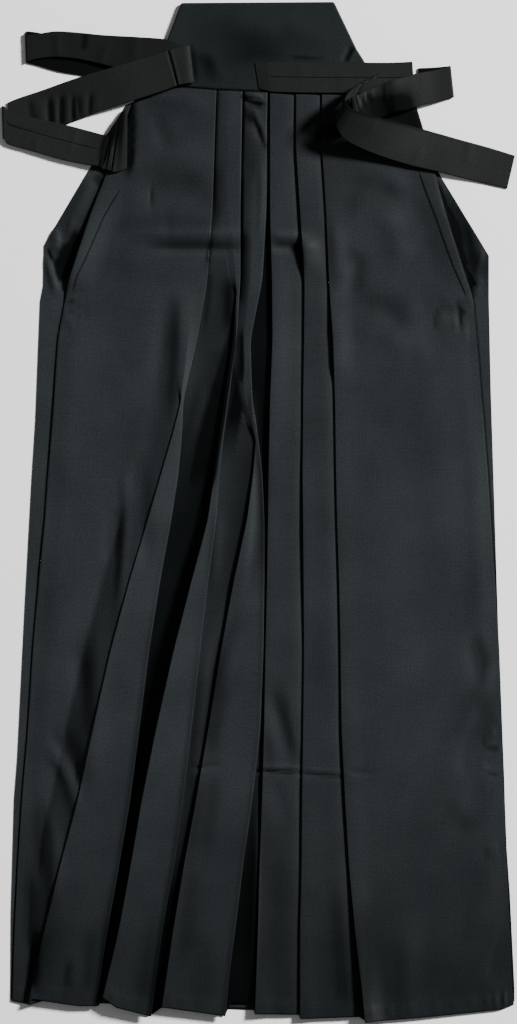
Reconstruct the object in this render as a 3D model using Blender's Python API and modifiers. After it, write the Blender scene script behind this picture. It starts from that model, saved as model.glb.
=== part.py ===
"""Hakama trousers, pressed and laid flat with the front up and the ties folded over the waist.

Millimetres in the tables, metres in the meshes.  x runs across from the centre line, "down" runs from
the waist seam towards the hem (-Y), and z is the height above the surface the garment lies on.
"""
import math

import bpy
import numpy as np

# ---------------------------------------------------------------- driving dimensions, in millimetres
CLOTH = 1.0                 # wall of one layer of the hakama cloth
TIE = 1.6                   # the ties are the same cloth folded to four layers
BOARD = 4.0                 # stiffened back board
SEAM_GAP = 0.3              # between neighbouring pieces
WAIST_Y = 422.2             # the waist seam's height on the page, the hem is at about -505
FOLD_RADIUS = 0.7           # centre line radius of a pressed fold
LAYER = 1.5                 # from one layer of a pleat to the next
FRONT_FLOOR = CLOTH + SEAM_GAP + CLOTH / 2     # centre line of the front's lowest layer
PLEAT_LIFT = 1.4            # the pleated middle stands this much higher than the side seams
PANEL_SLOPE = 90.0          # width over which a side panel climbs to its first pleat
PLEAT_DEPTH = 10.0          # cloth tucked under a narrow pleat
PANEL_DEPTH = 20.0          # cloth tucked under a side panel's pleat
STRIP_TUCK = 14.0           # most that a released pleat keeps tucked under each edge
NARROWEST_STRIP = 3.0       # a released pleat where it begins
ARC_POINTS = 4              # points round each half of a fold
HEM_EASE = 230.0            # length over which the hem's own line takes over

# Sections of the cloth at their distance below the waist seam.
SECTIONS = (0, 60, 120, 170, 215, 250, 280, 305, 325, 345, 365, 390, 430, 490, 560, 640, 710, 776, 840, 888, 926)

# Fold lines of the wearer's right leg, (down, across ...).  side is the panel's side edge, and one, two and
# three are the edges of the pleats that face away from it.
RIGHT_LEG_COLUMNS = ("down", "side", "one", "two", "three")
RIGHT_LEG = (
    (0, -119, -42, -16, 9),
    (60, -143, -44, -17, 8),
    (120, -167, -46, -18, 6),
    (190, -190, -51, -18, 2),
    (250, -201, -61, -22, -8),
    (312, -205, -75, -30, -6),
    (340, -207, -76, -34, -1),
    (385, -211, -80, -39, 4),
    (430, -214, -87, -42, 6),
    (490, -220, -98, -50, 6),
    (560, -226, -109, -58, 5),
    (640, -231, -119, -67, 2),
    (710, -237, -128, -75, -6),
    (776, -241, -139, -84, -15),
    (840, -244, -149, -95, -22),
    (926, -247, -161, -107, -33),
)
# Part way down each of these pleats comes free and lies as a raised band with a second, outer edge:
# (down, across, height of the band over the cloth beside it).
OUTER_EDGES = {
    "one": ((312, -78, 3.0), (340, -85, 4.0), (385, -98, 6.0), (430, -111, 8.0), (490, -129, 9.0),
            (560, -148, 9.0), (640, -166, 9.0), (710, -181, 8.5), (776, -198, 8.0), (840, -212, 7.0),
            (926, -230, 5.5)),
    "two": ((381, -42, 3.5), (430, -51, 6.5), (490, -67, 8.5), (560, -85, 9.0), (640, -103, 9.0),
            (710, -117, 8.5), (776, -128, 8.0), (840, -139, 7.0), (926, -156, 5.5)),
    "three": ((350, -3, 3.0), (385, -6, 3.5), (430, -12, 4.5), (490, -25, 5.0), (560, -38, 5.0),
              (640, -51, 5.0), (710, -63, 5.0), (776, -75, 5.0), (840, -85, 5.0), (926, -97, 4.5)),
}

# Fold lines of the wearer's left leg, whose pleats all face the right leg.
LEFT_LEG_COLUMNS = ("down", "one", "two", "three", "side")
LEFT_LEG = (
    (0, 11, 37, 63, 155),
    (60, 11, 37, 63, 171),
    (120, 11, 41, 67, 186),
    (190, 13, 45.5, 70, 208),
    (250, 13.5, 45, 74, 219),
    (312, 11, 44, 76, 224),
    (385, 9.5, 43.5, 77, 230),
    (430, 9, 44, 78, 233),
    (490, 8, 44.5, 80, 237),
    (560, 6.5, 45, 81.5, 241),
    (640, 5, 44, 82.5, 244),
    (710, 3, 43, 86, 246.5),
    (776, 0.5, 42.5, 90, 249),
    (840, -1, 41, 96, 252),
    (926, -4, 41, 106, 255.5),
)

# The largest soft folds, each a ridge from one end to the other that fades at its ends.
SOFT_FOLD_COLUMNS = ("across", "down", "end_across", "end_down", "half_width", "height")
SOFT_FOLDS = (
    (-84, 236, -128, 400, 15, 3.0),
    (-131, 440, -160, 690, 15, 2.6),
    (-196, 560, -206, 800, 16, 2.0),
    (-118, 95, -62, 170, 24, 2.4),
    (-150, 215, -100, 190, 14, 1.8),
    (-226, 300, -232, 560, 9, 1.2),
    (82, 120, 176, 96, 22, 2.6),
    (88, 196, 172, 236, 18, 2.2),
    (196, 300, 222, 420, 20, 1.8),
    (120, 330, 132, 620, 26, 1.6),
    (228, 610, 176, 742, 16, 2.2),
    (112, 800, 150, 905, 18, 2.0),
    (240, 780, 206, 880, 14, 1.6),
)

# The waist edge and the hem, as distances down at places across.
WAIST_LINE = ((-130, -3), (-77, -2.6), (-44, 0.3), (32, 3.9), (87, 4.4), (155, 5))
HEM_LINE = (
    (-249, 911), (-229, 915), (-227, 909), (-180, 916), (-160, 916), (-156, 907), (-142, 917), (-108, 926),
    (-96, 917), (-33, 926), (-29, 914), (-6, 914), (-4, 924), (40, 925), (42, 929), (103, 927), (107, 932),
    (163, 928), (243, 920), (256, 915),
)

# Outlines of the flat back, (across, down), from the waist down the outer edge to the hem.
BACK_RIGHT_OUTLINE = (
    (-44, -0.7), (-90, -3.5), (-132.4, 15), (-151.9, 45.5), (-168.4, 78), (-214.5, 155.6), (-215.4, 196), (-218.4, 211.5),
    (-223, 330), (-226.8, 390), (-233.5, 514), (-241.2, 669), (-244.4, 710), (-247.6, 826), (-248, 910),
    (-158, 913), (-33, 922),
)
BACK_LEFT_OUTLINE = (
    (112, 1), (154.6, 35), (181.6, 85), (230.6, 166), (230.6, 210), (232.6, 302), (240.6, 560), (246, 688),
    (247.6, 747), (251.6, 804), (256.2, 898), (256.2, 912), (243, 918), (163, 925), (104, 929), (41, 925),
)
CENTRE_SEAM = 3.0           # across, where the two backs meet
BACK_HEM_AT_SEAM = 921      # down
BOARD_OUTLINE = (           # the back board, (across, down), clockwise from its top left corner
    (-77.4, -87), (75.6, -88), (98.6, -40), (106.6, -28), (111, -1.3), (-40, -1.3), (-90, -3.8),
    (-91.4, -50), (-86.4, -63),
)

# Ties.  One edge of the band and the other at each place along it: across, down, height of its middle.
TIE_COLUMNS = ("edge_x", "edge_down", "edge_z", "other_x", "other_down", "other_z")
LOW, SECOND = TIE / 2, TIE * 1.5 + SEAM_GAP           # heights of one and of two tie layers on the surface
OVER_BOARD = BOARD + SEAM_GAP + TIE / 2
OVER_TIE = OVER_BOARD + TIE + SEAM_GAP
UPPER_RETURN = (            # the upper tie's lower layer, from its hidden end to the fold
    (-150, -46, LOW, -158, -13, LOW),
    (-190, -50, LOW, -194, -17, LOW),
    (-218, -57, LOW, -222, -24.5, LOW),
    (-232, -59, LOW, -231, -26.5, LOW),
)
UPPER_TIE = (               # the upper tie, from the fold to the board
    (-232, -54.5, SECOND, -231, -28, SECOND),
    (-218, -56.5, SECOND, -220, -31, SECOND),
    (-202, -58.6, SECOND, -204, -32.5, SECOND),
    (-178, -57, SECOND + 0.6, -181, -30.6, SECOND + 0.6),
    (-154, -54.6, OVER_BOARD - 1.5, -158, -25.5, OVER_BOARD - 1.5),
    (-120, -52.5, OVER_BOARD - 0.3, -128, -18, OVER_BOARD - 0.3),
    (-92, -50, OVER_BOARD, -98, -13, OVER_BOARD),
    (-76, -43, OVER_BOARD, -79, -10, OVER_BOARD),
)
CROSSING_TIE = (            # the middle tie, from its free end over the waist to the fold
    (-69, -44.4, OVER_TIE, -64.6, -6.6, OVER_TIE),
    (-80, -42.5, OVER_TIE, -79, -4, OVER_TIE),
    (-104, -34.5, OVER_TIE, -100, 3.5, OVER_TIE),
    (-138, -24.5, OVER_TIE - 0.3, -132.4, 13.8, OVER_TIE - 0.3),
    (-181, -12, 3.6, -166, 24.5, 3.6),
    (-216, 0, 1.0, -196, 35.5, 1.0),
    (-240, 8, LOW, -226, 43, LOW),
    (-251, 12.5, LOW, -249.5, 46, LOW),
)
LOWER_TIE_FOLD = ((-255.2, 16, LOW, -254.2, 49, LOW),)
LOWER_TIE = (               # the lower tie, from the fold to its crumpled end
    (-255.2, 16, SECOND, -254.2, 49, SECOND),
    (-246, 22.5, SECOND, -250, 54.5, SECOND),
    (-220, 29, SECOND + 0.4, -228, 61, SECOND),
    (-194, 34.8, SECOND + 1.0, -202, 68.6, SECOND + 0.4),
    (-172, 40.5, SECOND + 1.2, -178, 74, SECOND + 0.8),
    (-153, 45.5, 4.2, -159.4, 77, 4.2),
    (-148, 38, 9.5, -153, 80.5, 6.5),
    (-142.5, 30, 5.2, -146.5, 82, 4.8),
    (-137, 26.5, 10.5, -139, 82, 8.0),
    (-133.6, 30, 5.6, -133, 81.6, 5.2),
    (-131, 38, 4.8, -127.4, 81, 4.8),
)
WAIST_TIE = (               # the tie along the front's waist, left half
    (-3.4, -27, OVER_BOARD, 0.6, -0.6, OVER_BOARD),
    (12, -28, OVER_BOARD, 14, 2.6, OVER_BOARD),
    (60, -27.5, OVER_BOARD, 60, 3.7, OVER_BOARD),
    (105, -27, OVER_BOARD, 106, 3.8, OVER_BOARD),
    (132, -27, OVER_BOARD - 0.6, 134, 3.6, OVER_BOARD - 0.6),
    (153.8, -28, OVER_BOARD - 0.9, 156, 3.2, OVER_BOARD - 0.9),
)
SHORT_RETURN = (            # the short tie end's lower layer, from its hidden end to the fold
    (160, -22, LOW, 160, 10, LOW),
    (175, -22.6, LOW, 178, 10, LOW),
    (190.6, -24, LOW, 194, 7.6, LOW),
)
SHORT_TIE = (               # the short tie end, from the fold to the mouth of the loop
    (190.6, -24, SECOND, 194, 7.6, SECOND),
    (176, -19.6, SECOND + 0.4, 178, 12.4, SECOND + 0.4),
    (160, -16.4, 6.4, 160, 17, 6.0),
    (146, -12.6, 7.0, 150, 24, 6.8),
    (133, -9.4, 7.0, 140, 28, 7.0),
    (124, -5, 6.9, 128, 24, 6.9),
)
LOOP_TIE = (                # the long tie: it turns on its edge in a loop, then lies down to its end
    (119.6, -15, 6.9, 109.6, -6, 6.9),
    (103, -6, 15, 95, 8, 8.6),
    (90, 5, 25, 82, 21, 8.8),
    (86.1, 14, 28, 77.4, 32, 8.6),
    (92, 22.6, 26, 79, 43, 8.4),
    (108, 27.4, 20, 88, 53, 8.0),
    (134, 33, 12, 113, 64, 7.0),
    (168.6, 41, 6.6, 148, 75, 5.6),
    (202, 50, 3.2, 187, 84, 3.6),
    (232, 58, 1.2, 222, 92.6, 1.0),
    (256.6, 65.6, LOW, 248.8, 98.6, LOW),
)

CLOTH_COLOUR = (0.0095, 0.0113, 0.0125, 1.0)
TIE_COLOUR = (0.0140, 0.0140, 0.0135, 1.0)
BOARD_COLOUR = (0.0105, 0.0115, 0.0120, 1.0)


# ---------------------------------------------------------------- scene and materials
def clear_scene():
    for item in list(bpy.data.objects):
        bpy.data.objects.remove(item, do_unlink=True)


def cloth_material(name, colour, roughness):
    material = bpy.data.materials.new(name)
    material.use_nodes = True
    shader = material.node_tree.nodes["Principled BSDF"]
    shader.inputs["Base Color"].default_value = colour
    shader.inputs["Roughness"].default_value = roughness
    shader.inputs["Metallic"].default_value = 0.0
    return material


# ---------------------------------------------------------------- folds
def ease(value, start, end):
    """0 before start, 1 after end, and a smooth step between."""
    share = np.clip((np.asarray(value, float) - start) / (end - start), 0.0, 1.0)
    return share * share * (3.0 - 2.0 * share)


def column(table, columns, name, down):
    """A named column of a table of sections, read at one distance down."""
    rows = np.array(table, float)
    return float(np.interp(down, rows[:, 0], rows[:, columns.index(name)]))


def fold(start_x, end_x, start_z, rise, turn):
    """One pleat edge as points along the wall: in along start_z, round a circle, across to a second circle
    and out along start_z + rise.  turn is 1 for a fold that rises and -1 for one that falls.  Where end_x
    lies back past start_x the cloth is tucked under itself, and where it lies ahead this is a slope."""
    radius = FOLD_RADIUS
    ahead = end_x - start_x
    above = rise * turn - 2.0 * radius
    distance = math.hypot(ahead, above)
    angle = math.atan2(above, ahead) + math.asin(min(1.0, 2.0 * radius / distance))
    steps = np.linspace(0.0, 1.0, ARC_POINTS)
    spread = max(0.0, math.cos(angle)) * (np.arange(ARC_POINTS) - (ARC_POINTS - 1) / 2.0) * 0.7
    first = -math.pi / 2 + steps * angle
    second = angle + math.pi / 2 - steps * angle
    xs = np.concatenate([start_x + radius * np.cos(first) + spread, end_x + radius * np.cos(second) + spread])
    zs = np.concatenate([radius + radius * np.sin(first), rise * turn - radius + radius * np.sin(second)])
    return xs, start_z + turn * zs


EDGE_TO_CENTRE = FOLD_RADIUS + CLOTH / 2       # from a fold's visible edge to its circle's centre
PANEL_POINTS = np.array([0.13, 0.26, 0.38, 0.5, 0.62, 0.74, 0.87])     # shares of a side panel's width


def soft_folds(across, down):
    """Height of the soft folds: a bell across each ridge, times an arch along it."""
    height = np.zeros_like(across)
    for x, start, end_x, end, half_width, tall in SOFT_FOLDS:
        run = np.array([end_x - x, end - start], float)
        length = math.hypot(*run)
        along = ((across - x) * run[0] + (down - start) * run[1]) / length**2
        aside = ((across - x) * run[1] - (down - start) * run[0]) / length
        arch = np.sin(math.pi * np.clip((along + 0.15) / 1.3, 0.0, 1.0)) ** 2
        height += tall * arch * np.exp(-(aside / half_width) ** 2)
    return height


def right_leg_section(down):
    """The wearer's right leg across: each pleat has a free outer edge and an inner edge.  Above the place
    where it is released the outer edge is flat and the strip climbs to the inner edge."""
    def at(name):
        return column(RIGHT_LEG, RIGHT_LEG_COLUMNS, name, down)

    side, tall = at("side"), 2.0 * LAYER
    xs, zs = [], []
    level, slopes, before = 0.0, [], max(side + 14.0, at("one") - PANEL_SLOPE)
    for name in ("one", "two", "three"):
        outer_edge = np.array(OUTER_EDGES[name], float)
        inner, below = at(name), down - outer_edge[0, 0]
        released = float(ease(below, -90.0, -20.0))
        band = released * float(np.interp(down, outer_edge[:, 0], outer_edge[:, 2]))
        pleat = tall * (1.0 - released)
        if below < 0:
            outer = inner - NARROWEST_STRIP - min(0.1 * -below, 0.4 * (inner - before))
            reach = float(np.interp(below, (-90.0, -20.0, 0.0), (10.0, 7.0, 2.0 * FOLD_RADIUS)))
            depth = PANEL_DEPTH if name == "one" else PLEAT_DEPTH
            tuck = float(np.interp(below, (-150.0, -90.0), (depth, -2.0 * FOLD_RADIUS)))
        else:
            outer = min(float(np.interp(down, outer_edge[:, 0], outer_edge[:, 1])), inner - NARROWEST_STRIP)
            tuck = min(STRIP_TUCK, 0.42 * (inner - outer) - 2.6)
            reach = -tuck
        top_start = outer + EDGE_TO_CENTRE
        if name == "one":
            panel = top_start - reach - side
            xs.append(side + panel * np.concatenate([[0.0], PANEL_POINTS]))
            zs.append(np.zeros(len(xs[0])))
        top_end = inner - EDGE_TO_CENTRE
        for part in (fold(top_start - reach, top_start, level, band, 1.0),
                     fold(top_end, top_end - tuck, level + band, -band - pleat, -1.0)):
            xs.append(part[0])
            zs.append(part[1])
        level -= pleat
        slopes.append((before, inner, pleat))
        before = inner
    end = column(LEFT_LEG, LEFT_LEG_COLUMNS, "one", down) + 2.0
    xs.append(np.array([end]))
    zs.append(np.array([level]))
    xs, zs = np.concatenate(xs), np.concatenate(zs)
    for start, stop, height in slopes:
        zs += height * np.clip((xs - start) / (stop - start), 0.0, 1.0)
    lift = PLEAT_LIFT * (1.0 - float(ease(down, 250.0, 400.0)))
    return xs, FRONT_FLOOR + zs + lift * ease(xs, side + 10.0, side + 60.0)


def left_leg_section(down):
    """The wearer's left leg across: three pleats whose edges face the other leg, then the side panel."""
    def at(name):
        return column(LEFT_LEG, LEFT_LEG_COLUMNS, name, down)

    side, tall = at("side"), 2.0 * LAYER
    edges = [at("one"), at("two"), at("three")]
    xs, zs = [np.array([edges[0] + 2.0 + SEAM_GAP])], [np.zeros(1)]
    for count, edge in enumerate(edges):
        depth = PANEL_DEPTH if count == 2 else PLEAT_DEPTH
        centre = edge + EDGE_TO_CENTRE
        part = fold(centre + depth, centre, count * tall, tall, 1.0)
        xs.append(part[0])
        zs.append(part[1])
    panel = side - edges[2]
    xs.append(edges[2] + panel * np.concatenate([1.0 - PANEL_POINTS[::-1], [1.0]]))
    zs.append(np.full(len(xs[-1]), 3.0 * tall))
    xs, zs = np.concatenate(xs), np.concatenate(zs)
    for start, stop in zip(edges[:2], edges[1:]):
        zs -= tall * np.clip((xs - start) / (stop - start), 0.0, 1.0)
    zs -= tall * ease(xs, edges[2] + 4.0, min(edges[2] + PANEL_SLOPE, side - 6.0))
    return xs, FRONT_FLOOR + zs + PLEAT_LIFT * (1.0 - ease(xs, side - 60.0, side - 10.0))


# ---------------------------------------------------------------- meshes
def page_y(down):
    return WAIST_Y - down


def grid_object(name, grid, thickness, material, group):
    """An open surface from a grid of points in millimetres, given its thickness by Solidify."""
    rows, count = grid.shape[:2]
    index = np.arange(rows * count).reshape(rows, count)
    faces = np.stack([index[:-1, :-1], index[1:, :-1], index[1:, 1:], index[:-1, 1:]], axis=-1).reshape(-1, 4)
    mesh = bpy.data.meshes.new(name)
    mesh.from_pydata((grid.reshape(-1, 3) / 1000.0).tolist(), [], faces.tolist())
    mesh.update()
    mesh.materials.append(material)
    body = bpy.data.objects.new(name, mesh)
    group.objects.link(body)
    wall = body.modifiers.new("wall", "SOLIDIFY")
    wall.thickness = thickness / 1000.0
    wall.offset = 0.0
    mesh.shade_smooth()
    mesh.set_sharp_from_angle(angle=math.radians(50))
    return body


def front_leg(name, section, material, group):
    """A pleated front: the sections joined down the leg, trimmed to the waist line and the hem line."""
    waist, hem = np.array(WAIST_LINE, float), np.array(HEM_LINE, float)
    rows = []
    for down in SECTIONS:
        xs, zs = section(float(down))
        top = np.interp(xs, waist[:, 0], waist[:, 1]) * (1.0 - ease(down, 0.0, 60.0))
        trim = np.interp(xs, hem[:, 0], hem[:, 1]) - SECTIONS[-1]
        trim *= ease(down, SECTIONS[-1] - HEM_EASE, SECTIONS[-1])
        rows.append(np.stack([xs, page_y(down + top + trim), zs + soft_folds(xs, down)], axis=-1))
    return grid_object(name, np.array(rows), CLOTH, material, group)


def flat_piece(name, outline, bottom, thickness, material, group):
    """A flat piece from its outline, a filled curve with an even thickness."""
    curve = bpy.data.curves.new(name, "CURVE")
    curve.dimensions = "2D"
    curve.fill_mode = "BOTH"
    curve.extrude = thickness / 2000.0
    spline = curve.splines.new("POLY")
    spline.points.add(len(outline) - 1)
    for point, (x, down) in zip(spline.points, outline):
        point.co = (x / 1000.0, page_y(down) / 1000.0, 0.0, 1.0)
    spline.use_cyclic_u = True
    curve.materials.append(material)
    body = bpy.data.objects.new(name, curve)
    body.location.z = (bottom + thickness / 2) / 1000.0
    group.objects.link(body)
    return body


def through_rows(table, steps):
    """A smooth run through the rows of a table, with a number of steps between each two rows."""
    rows = np.array(table, float)
    rows = np.vstack([2 * rows[0] - rows[1], rows, 2 * rows[-1] - rows[-2]])
    share = np.linspace(0.0, 1.0, steps, endpoint=False)[:, None]
    spans = []
    for before, start, stop, after in zip(rows, rows[1:], rows[2:], rows[3:]):
        out, back = (stop - before) / 2, (after - start) / 2
        spans.append((2 * share**3 - 3 * share**2 + 1) * start + (share**3 - 2 * share**2 + share) * out
                     + (3 * share**2 - 2 * share**3) * stop + (share**3 - share**2) * back)
    return np.vstack(spans + [rows[-2][None, :]])


def turn_over(under, over, outward):
    """The rows of a tie round a fold, from the layer below to the layer above.  outward is -1 or 1."""
    under, over = np.array(under, float), np.array(over, float)
    angles = np.radians(np.array([-60.0, -20.0, 20.0, 60.0]))
    rows = []
    for angle in angles:
        row = (under + over) / 2
        radius = (over[2] - under[2]) / 2
        row[[0, 3]] += outward * radius * math.cos(angle)
        row[[2, 5]] += radius * math.sin(angle)
        rows.append(row)
    return np.array(rows)


def tie(name, rows, material, group, across=3):
    """A tie as a band between its two edges, with a slight crown across its width."""
    share = np.linspace(0.0, 1.0, across)[None, :, None]
    grid = rows[:, None, :3] * (1.0 - share) + rows[:, None, 3:] * share
    grid[:, :, 1] = page_y(grid[:, :, 1])
    grid[:, :, 2] = np.maximum(grid[:, :, 2], TIE / 2)
    return grid_object(name, grid, TIE, material, group)


def build():
    clear_scene()
    group = bpy.data.collections.new("hakama_trousers")
    bpy.context.scene.collection.children.link(group)
    cloth = cloth_material("hakama_cloth", CLOTH_COLOUR, 0.62)
    bands = cloth_material("tie_cloth", TIE_COLOUR, 0.68)
    board = cloth_material("board_cloth", BOARD_COLOUR, 0.60)

    front_leg("front_leg_right", right_leg_section, cloth, group)
    front_leg("front_leg_left", left_leg_section, cloth, group)
    seam_right, seam_left = CENTRE_SEAM - SEAM_GAP / 2, CENTRE_SEAM + SEAM_GAP / 2
    flat_piece("back_leg_right", ((seam_right, -1),) + BACK_RIGHT_OUTLINE + ((seam_right, BACK_HEM_AT_SEAM),),
               0.0, CLOTH, cloth, group)
    flat_piece("back_leg_left", ((seam_left, -1),) + BACK_LEFT_OUTLINE + ((seam_left, BACK_HEM_AT_SEAM),),
               0.0, CLOTH, cloth, group)
    flat_piece("koshiita", BOARD_OUTLINE, 0.0, BOARD, board, group)

    upper = np.vstack([through_rows(UPPER_RETURN, 1), turn_over(UPPER_RETURN[-1], UPPER_TIE[0], -1),
                       through_rows(UPPER_TIE, 2)])
    tie("tie_right_upper", upper, bands, group)
    tie("tie_right_crossing", through_rows(CROSSING_TIE, 2), bands, group)
    lower = np.vstack([LOWER_TIE_FOLD, turn_over(LOWER_TIE_FOLD[-1], LOWER_TIE[0], -1), through_rows(LOWER_TIE, 2)])
    tie("tie_right_lower", lower, bands, group)
    tie("tie_waist", through_rows(WAIST_TIE, 1), bands, group)
    short = np.vstack([through_rows(SHORT_RETURN, 1), turn_over(SHORT_RETURN[-1], SHORT_TIE[0], 1),
                       through_rows(SHORT_TIE, 2)])
    tie("tie_left_short", short, bands, group)
    tie("tie_left_loop", through_rows(LOOP_TIE, 3), bands, group, across=4)


build()
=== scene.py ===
import math

import bpy
import numpy as np
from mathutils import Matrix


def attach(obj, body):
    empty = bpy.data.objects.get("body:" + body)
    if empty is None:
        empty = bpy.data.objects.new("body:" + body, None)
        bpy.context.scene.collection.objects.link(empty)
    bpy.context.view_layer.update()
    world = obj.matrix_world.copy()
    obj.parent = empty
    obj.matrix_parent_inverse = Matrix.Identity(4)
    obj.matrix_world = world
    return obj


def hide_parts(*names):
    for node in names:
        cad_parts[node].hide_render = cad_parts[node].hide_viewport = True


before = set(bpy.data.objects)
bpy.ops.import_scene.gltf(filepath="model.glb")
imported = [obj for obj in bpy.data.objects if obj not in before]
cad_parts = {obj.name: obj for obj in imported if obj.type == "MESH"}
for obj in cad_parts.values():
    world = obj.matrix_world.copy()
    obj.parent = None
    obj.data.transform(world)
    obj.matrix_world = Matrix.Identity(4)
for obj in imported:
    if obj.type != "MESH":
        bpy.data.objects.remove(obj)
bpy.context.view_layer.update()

# Hakama trousers, pressed and laid flat with the front up and the ties folded over the waist.
# Tables are in millimetres: x runs across from the middle, down runs from the waist seam to the hem and
# z is the height above the surface. Meshes are in metres.
page = {
    "waistY": 422.2,        # the waist seam's place on the page, with the hem at about -505
    "perMetre": 1000.0,
    "body": "root",
}


def toLinear(hexColour):
    # sRGB hex to linear: a straight part near black, then a power of 2.4
    channels = np.array([int(hexColour[i:i + 2], 16) for i in (1, 3, 5)]) / 255
    linear = np.where(channels <= 0.04045, channels / 12.92, ((channels + 0.055) / 1.055) ** 2.4)
    return (*linear.tolist(), 1.0)


def ease(value, start, end):
    # 0 before start, 1 after end, 3t^2 - 2t^3 between
    share = np.clip((np.asarray(value, float) - start) / (end - start), 0.0, 1.0)
    return share * share * (3.0 - 2.0 * share)


def bell(distance, width):
    # e^-(distance / width)^2
    return np.exp(-((distance / width) ** 2))


def readTable(table, value, index=1):
    # one column of a table of rows, straight between its rows and level past its ends
    rows = np.array(table, float)
    return np.interp(value, rows[:, 0], rows[:, index])


def smoothColumn(table, index, downs, window=30.0):
    # a column of a fold table on every row of the mesh, its corners rounded by a running cosine window
    rows = np.array(table, float)
    first = rows[0] - (rows[1] - rows[0]) * window / (rows[1, 0] - rows[0, 0])
    last = rows[-1] + (rows[-1] - rows[-2]) * window / (rows[-1, 0] - rows[-2, 0])
    rows = np.vstack([first, rows, last])
    fine = np.arange(rows[0, 0], rows[-1, 0] + 1.0)
    cosine = np.hanning(int(window) + 2)[1:-1]
    smooth = np.convolve(np.interp(fine, rows[:, 0], rows[:, index]), cosine / cosine.sum(), "same")
    return np.interp(downs, fine, smooth)


def foldLines(leg, downs):
    # the fold lines of a leg by name: how far across each lies on every row
    return {name: smoothColumn(leg["folds"], i, downs) for i, name in enumerate(leg["columns"])}


def softRelief(x, down, folds):
    # Soft folds, each a row of: across and down at its start, across and down at its end, its width on the
    # left and on the right as it runs down, its height, and how far its middle bows aside. It is a bell
    # across, times an arch along it that fades past both ends. A negative height is a trough.
    height = np.zeros_like(x)
    for across, start, endAcross, end, leftWidth, rightWidth, tall, *bow in folds:
        runX, runDown = endAcross - across, end - start
        length = math.hypot(runX, runDown)
        along = ((x - across) * runX + (down - start) * runDown) / length**2
        aside = ((x - across) * runDown - (down - start) * runX) / length
        middle = np.clip(along, 0.0, 1.0)
        aside = aside - sum(bow) * 4.0 * middle * (1.0 - middle)
        arch = ease(along, -0.12, 0.3) * (1.0 - ease(along, 0.7, 1.12))
        height += tall * arch * bell(aside, np.where(aside < 0.0, leftWidth, rightWidth))
    return height


def unevenness(x, down, seed, waveLength, height):
    # nine slow waves in seeded directions, so that no stretch of cloth is quite flat
    draw = np.random.default_rng(seed)
    total = np.zeros_like(x)
    for _ in range(9):
        angle, phase = draw.uniform(0.0, math.tau, 2)
        length = waveLength * draw.uniform(0.6, 1.8)
        total += np.sin((x * math.cos(angle) + down * math.sin(angle)) * math.tau / length + phase)
    return height * total / 3.0


def arcLength(points, axis):
    # distance along the grid from its first row or column
    steps = np.linalg.norm(np.diff(points, axis=axis), axis=-1)
    zero = np.zeros_like(np.take(steps, [0], axis=axis))
    return np.concatenate([zero, np.cumsum(steps, axis=axis)], axis=axis)


def newPiece(name, mesh, material):
    # a mesh as a smooth piece of the object, with its material
    mesh.materials.append(material)
    mesh.shade_smooth()
    piece = bpy.data.objects.new(name, mesh)
    bpy.context.scene.collection.objects.link(piece)
    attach(piece, page["body"])
    return piece


def gridMesh(name, points, v, material, marks, closed=False, flip=False, wall=None):
    # A surface through a grid of points, (rows, columns, 3) in millimetres, with the cloth's own
    # millimetres as its UV map: u is the distance across it, and v is given. closed joins the last column
    # to the first and caps both ends. marks are the shares of painted edge tone and painted shade that the
    # material reads at each point.
    rows, columns = points.shape[:2]
    index, around = np.arange(rows * columns).reshape(rows, columns), points
    if closed:
        index, v, around = (np.concatenate([grid, grid[:, :1]], axis=1) for grid in (index, v, points))
    u = arcLength(around, 1)
    near, far = slice(None, -1), slice(1, None)
    corners = [(near, near), (far, near), (far, far), (near, far)]
    if flip:
        corners = corners[::-1]
    faces = np.stack([index[c] for c in corners], axis=-1).reshape(-1, 4).tolist()
    uv = np.stack([np.stack([u[c], v[c]], axis=-1) for c in corners], axis=-2).reshape(-1, 2)
    if closed:
        start, stop = index[0, :-1], index[-1, :-1]
        faces += [(start if flip else start[::-1]).tolist(), (stop[::-1] if flip else stop).tolist()]
        uv = np.vstack([uv, np.zeros((2 * columns, 2))])
    mesh = bpy.data.meshes.new(name)
    mesh.from_pydata(points.reshape(-1, 3) / page["perMetre"], [], faces)
    mesh.uv_layers.new(name="weave").data.foreach_set("uv", uv.ravel() / page["perMetre"])
    for mark, values in marks.items():
        layer = mesh.attributes.new(mark, "FLOAT", "POINT")
        layer.data.foreach_set("value", np.ascontiguousarray(np.clip(values, 0.0, 1.0)).ravel())
    mesh.update()
    piece = newPiece(name, mesh, material)
    if wall:
        solid = piece.modifiers.new("wall", "SOLIDIFY")
        solid.thickness = wall / page["perMetre"]
        solid.offset = 0.0
    mesh.set_sharp_from_angle(angle=math.radians(62))
    return piece


def addNode(tree, kind, values=None, links=None, **settings):
    # a link given as a node takes its first output
    node = tree.nodes.new(kind)
    for key, value in settings.items():
        setattr(node, key, value)
    for key, value in (values or {}).items():
        node.inputs[key].default_value = value
    for key, source in (links or {}).items():
        socket = source.outputs[0] if isinstance(source, bpy.types.Node) else source
        tree.links.new(socket, node.inputs[key])
    return node


def newMaterial(name, values):
    # a material and its shader, with the constants on the shader's own sockets
    material = bpy.data.materials.new(name)
    material.use_nodes = True
    shader = material.node_tree.nodes["Principled BSDF"]
    for key, value in values.items():
        shader.inputs[key].default_value = value
    return material, shader


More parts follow.
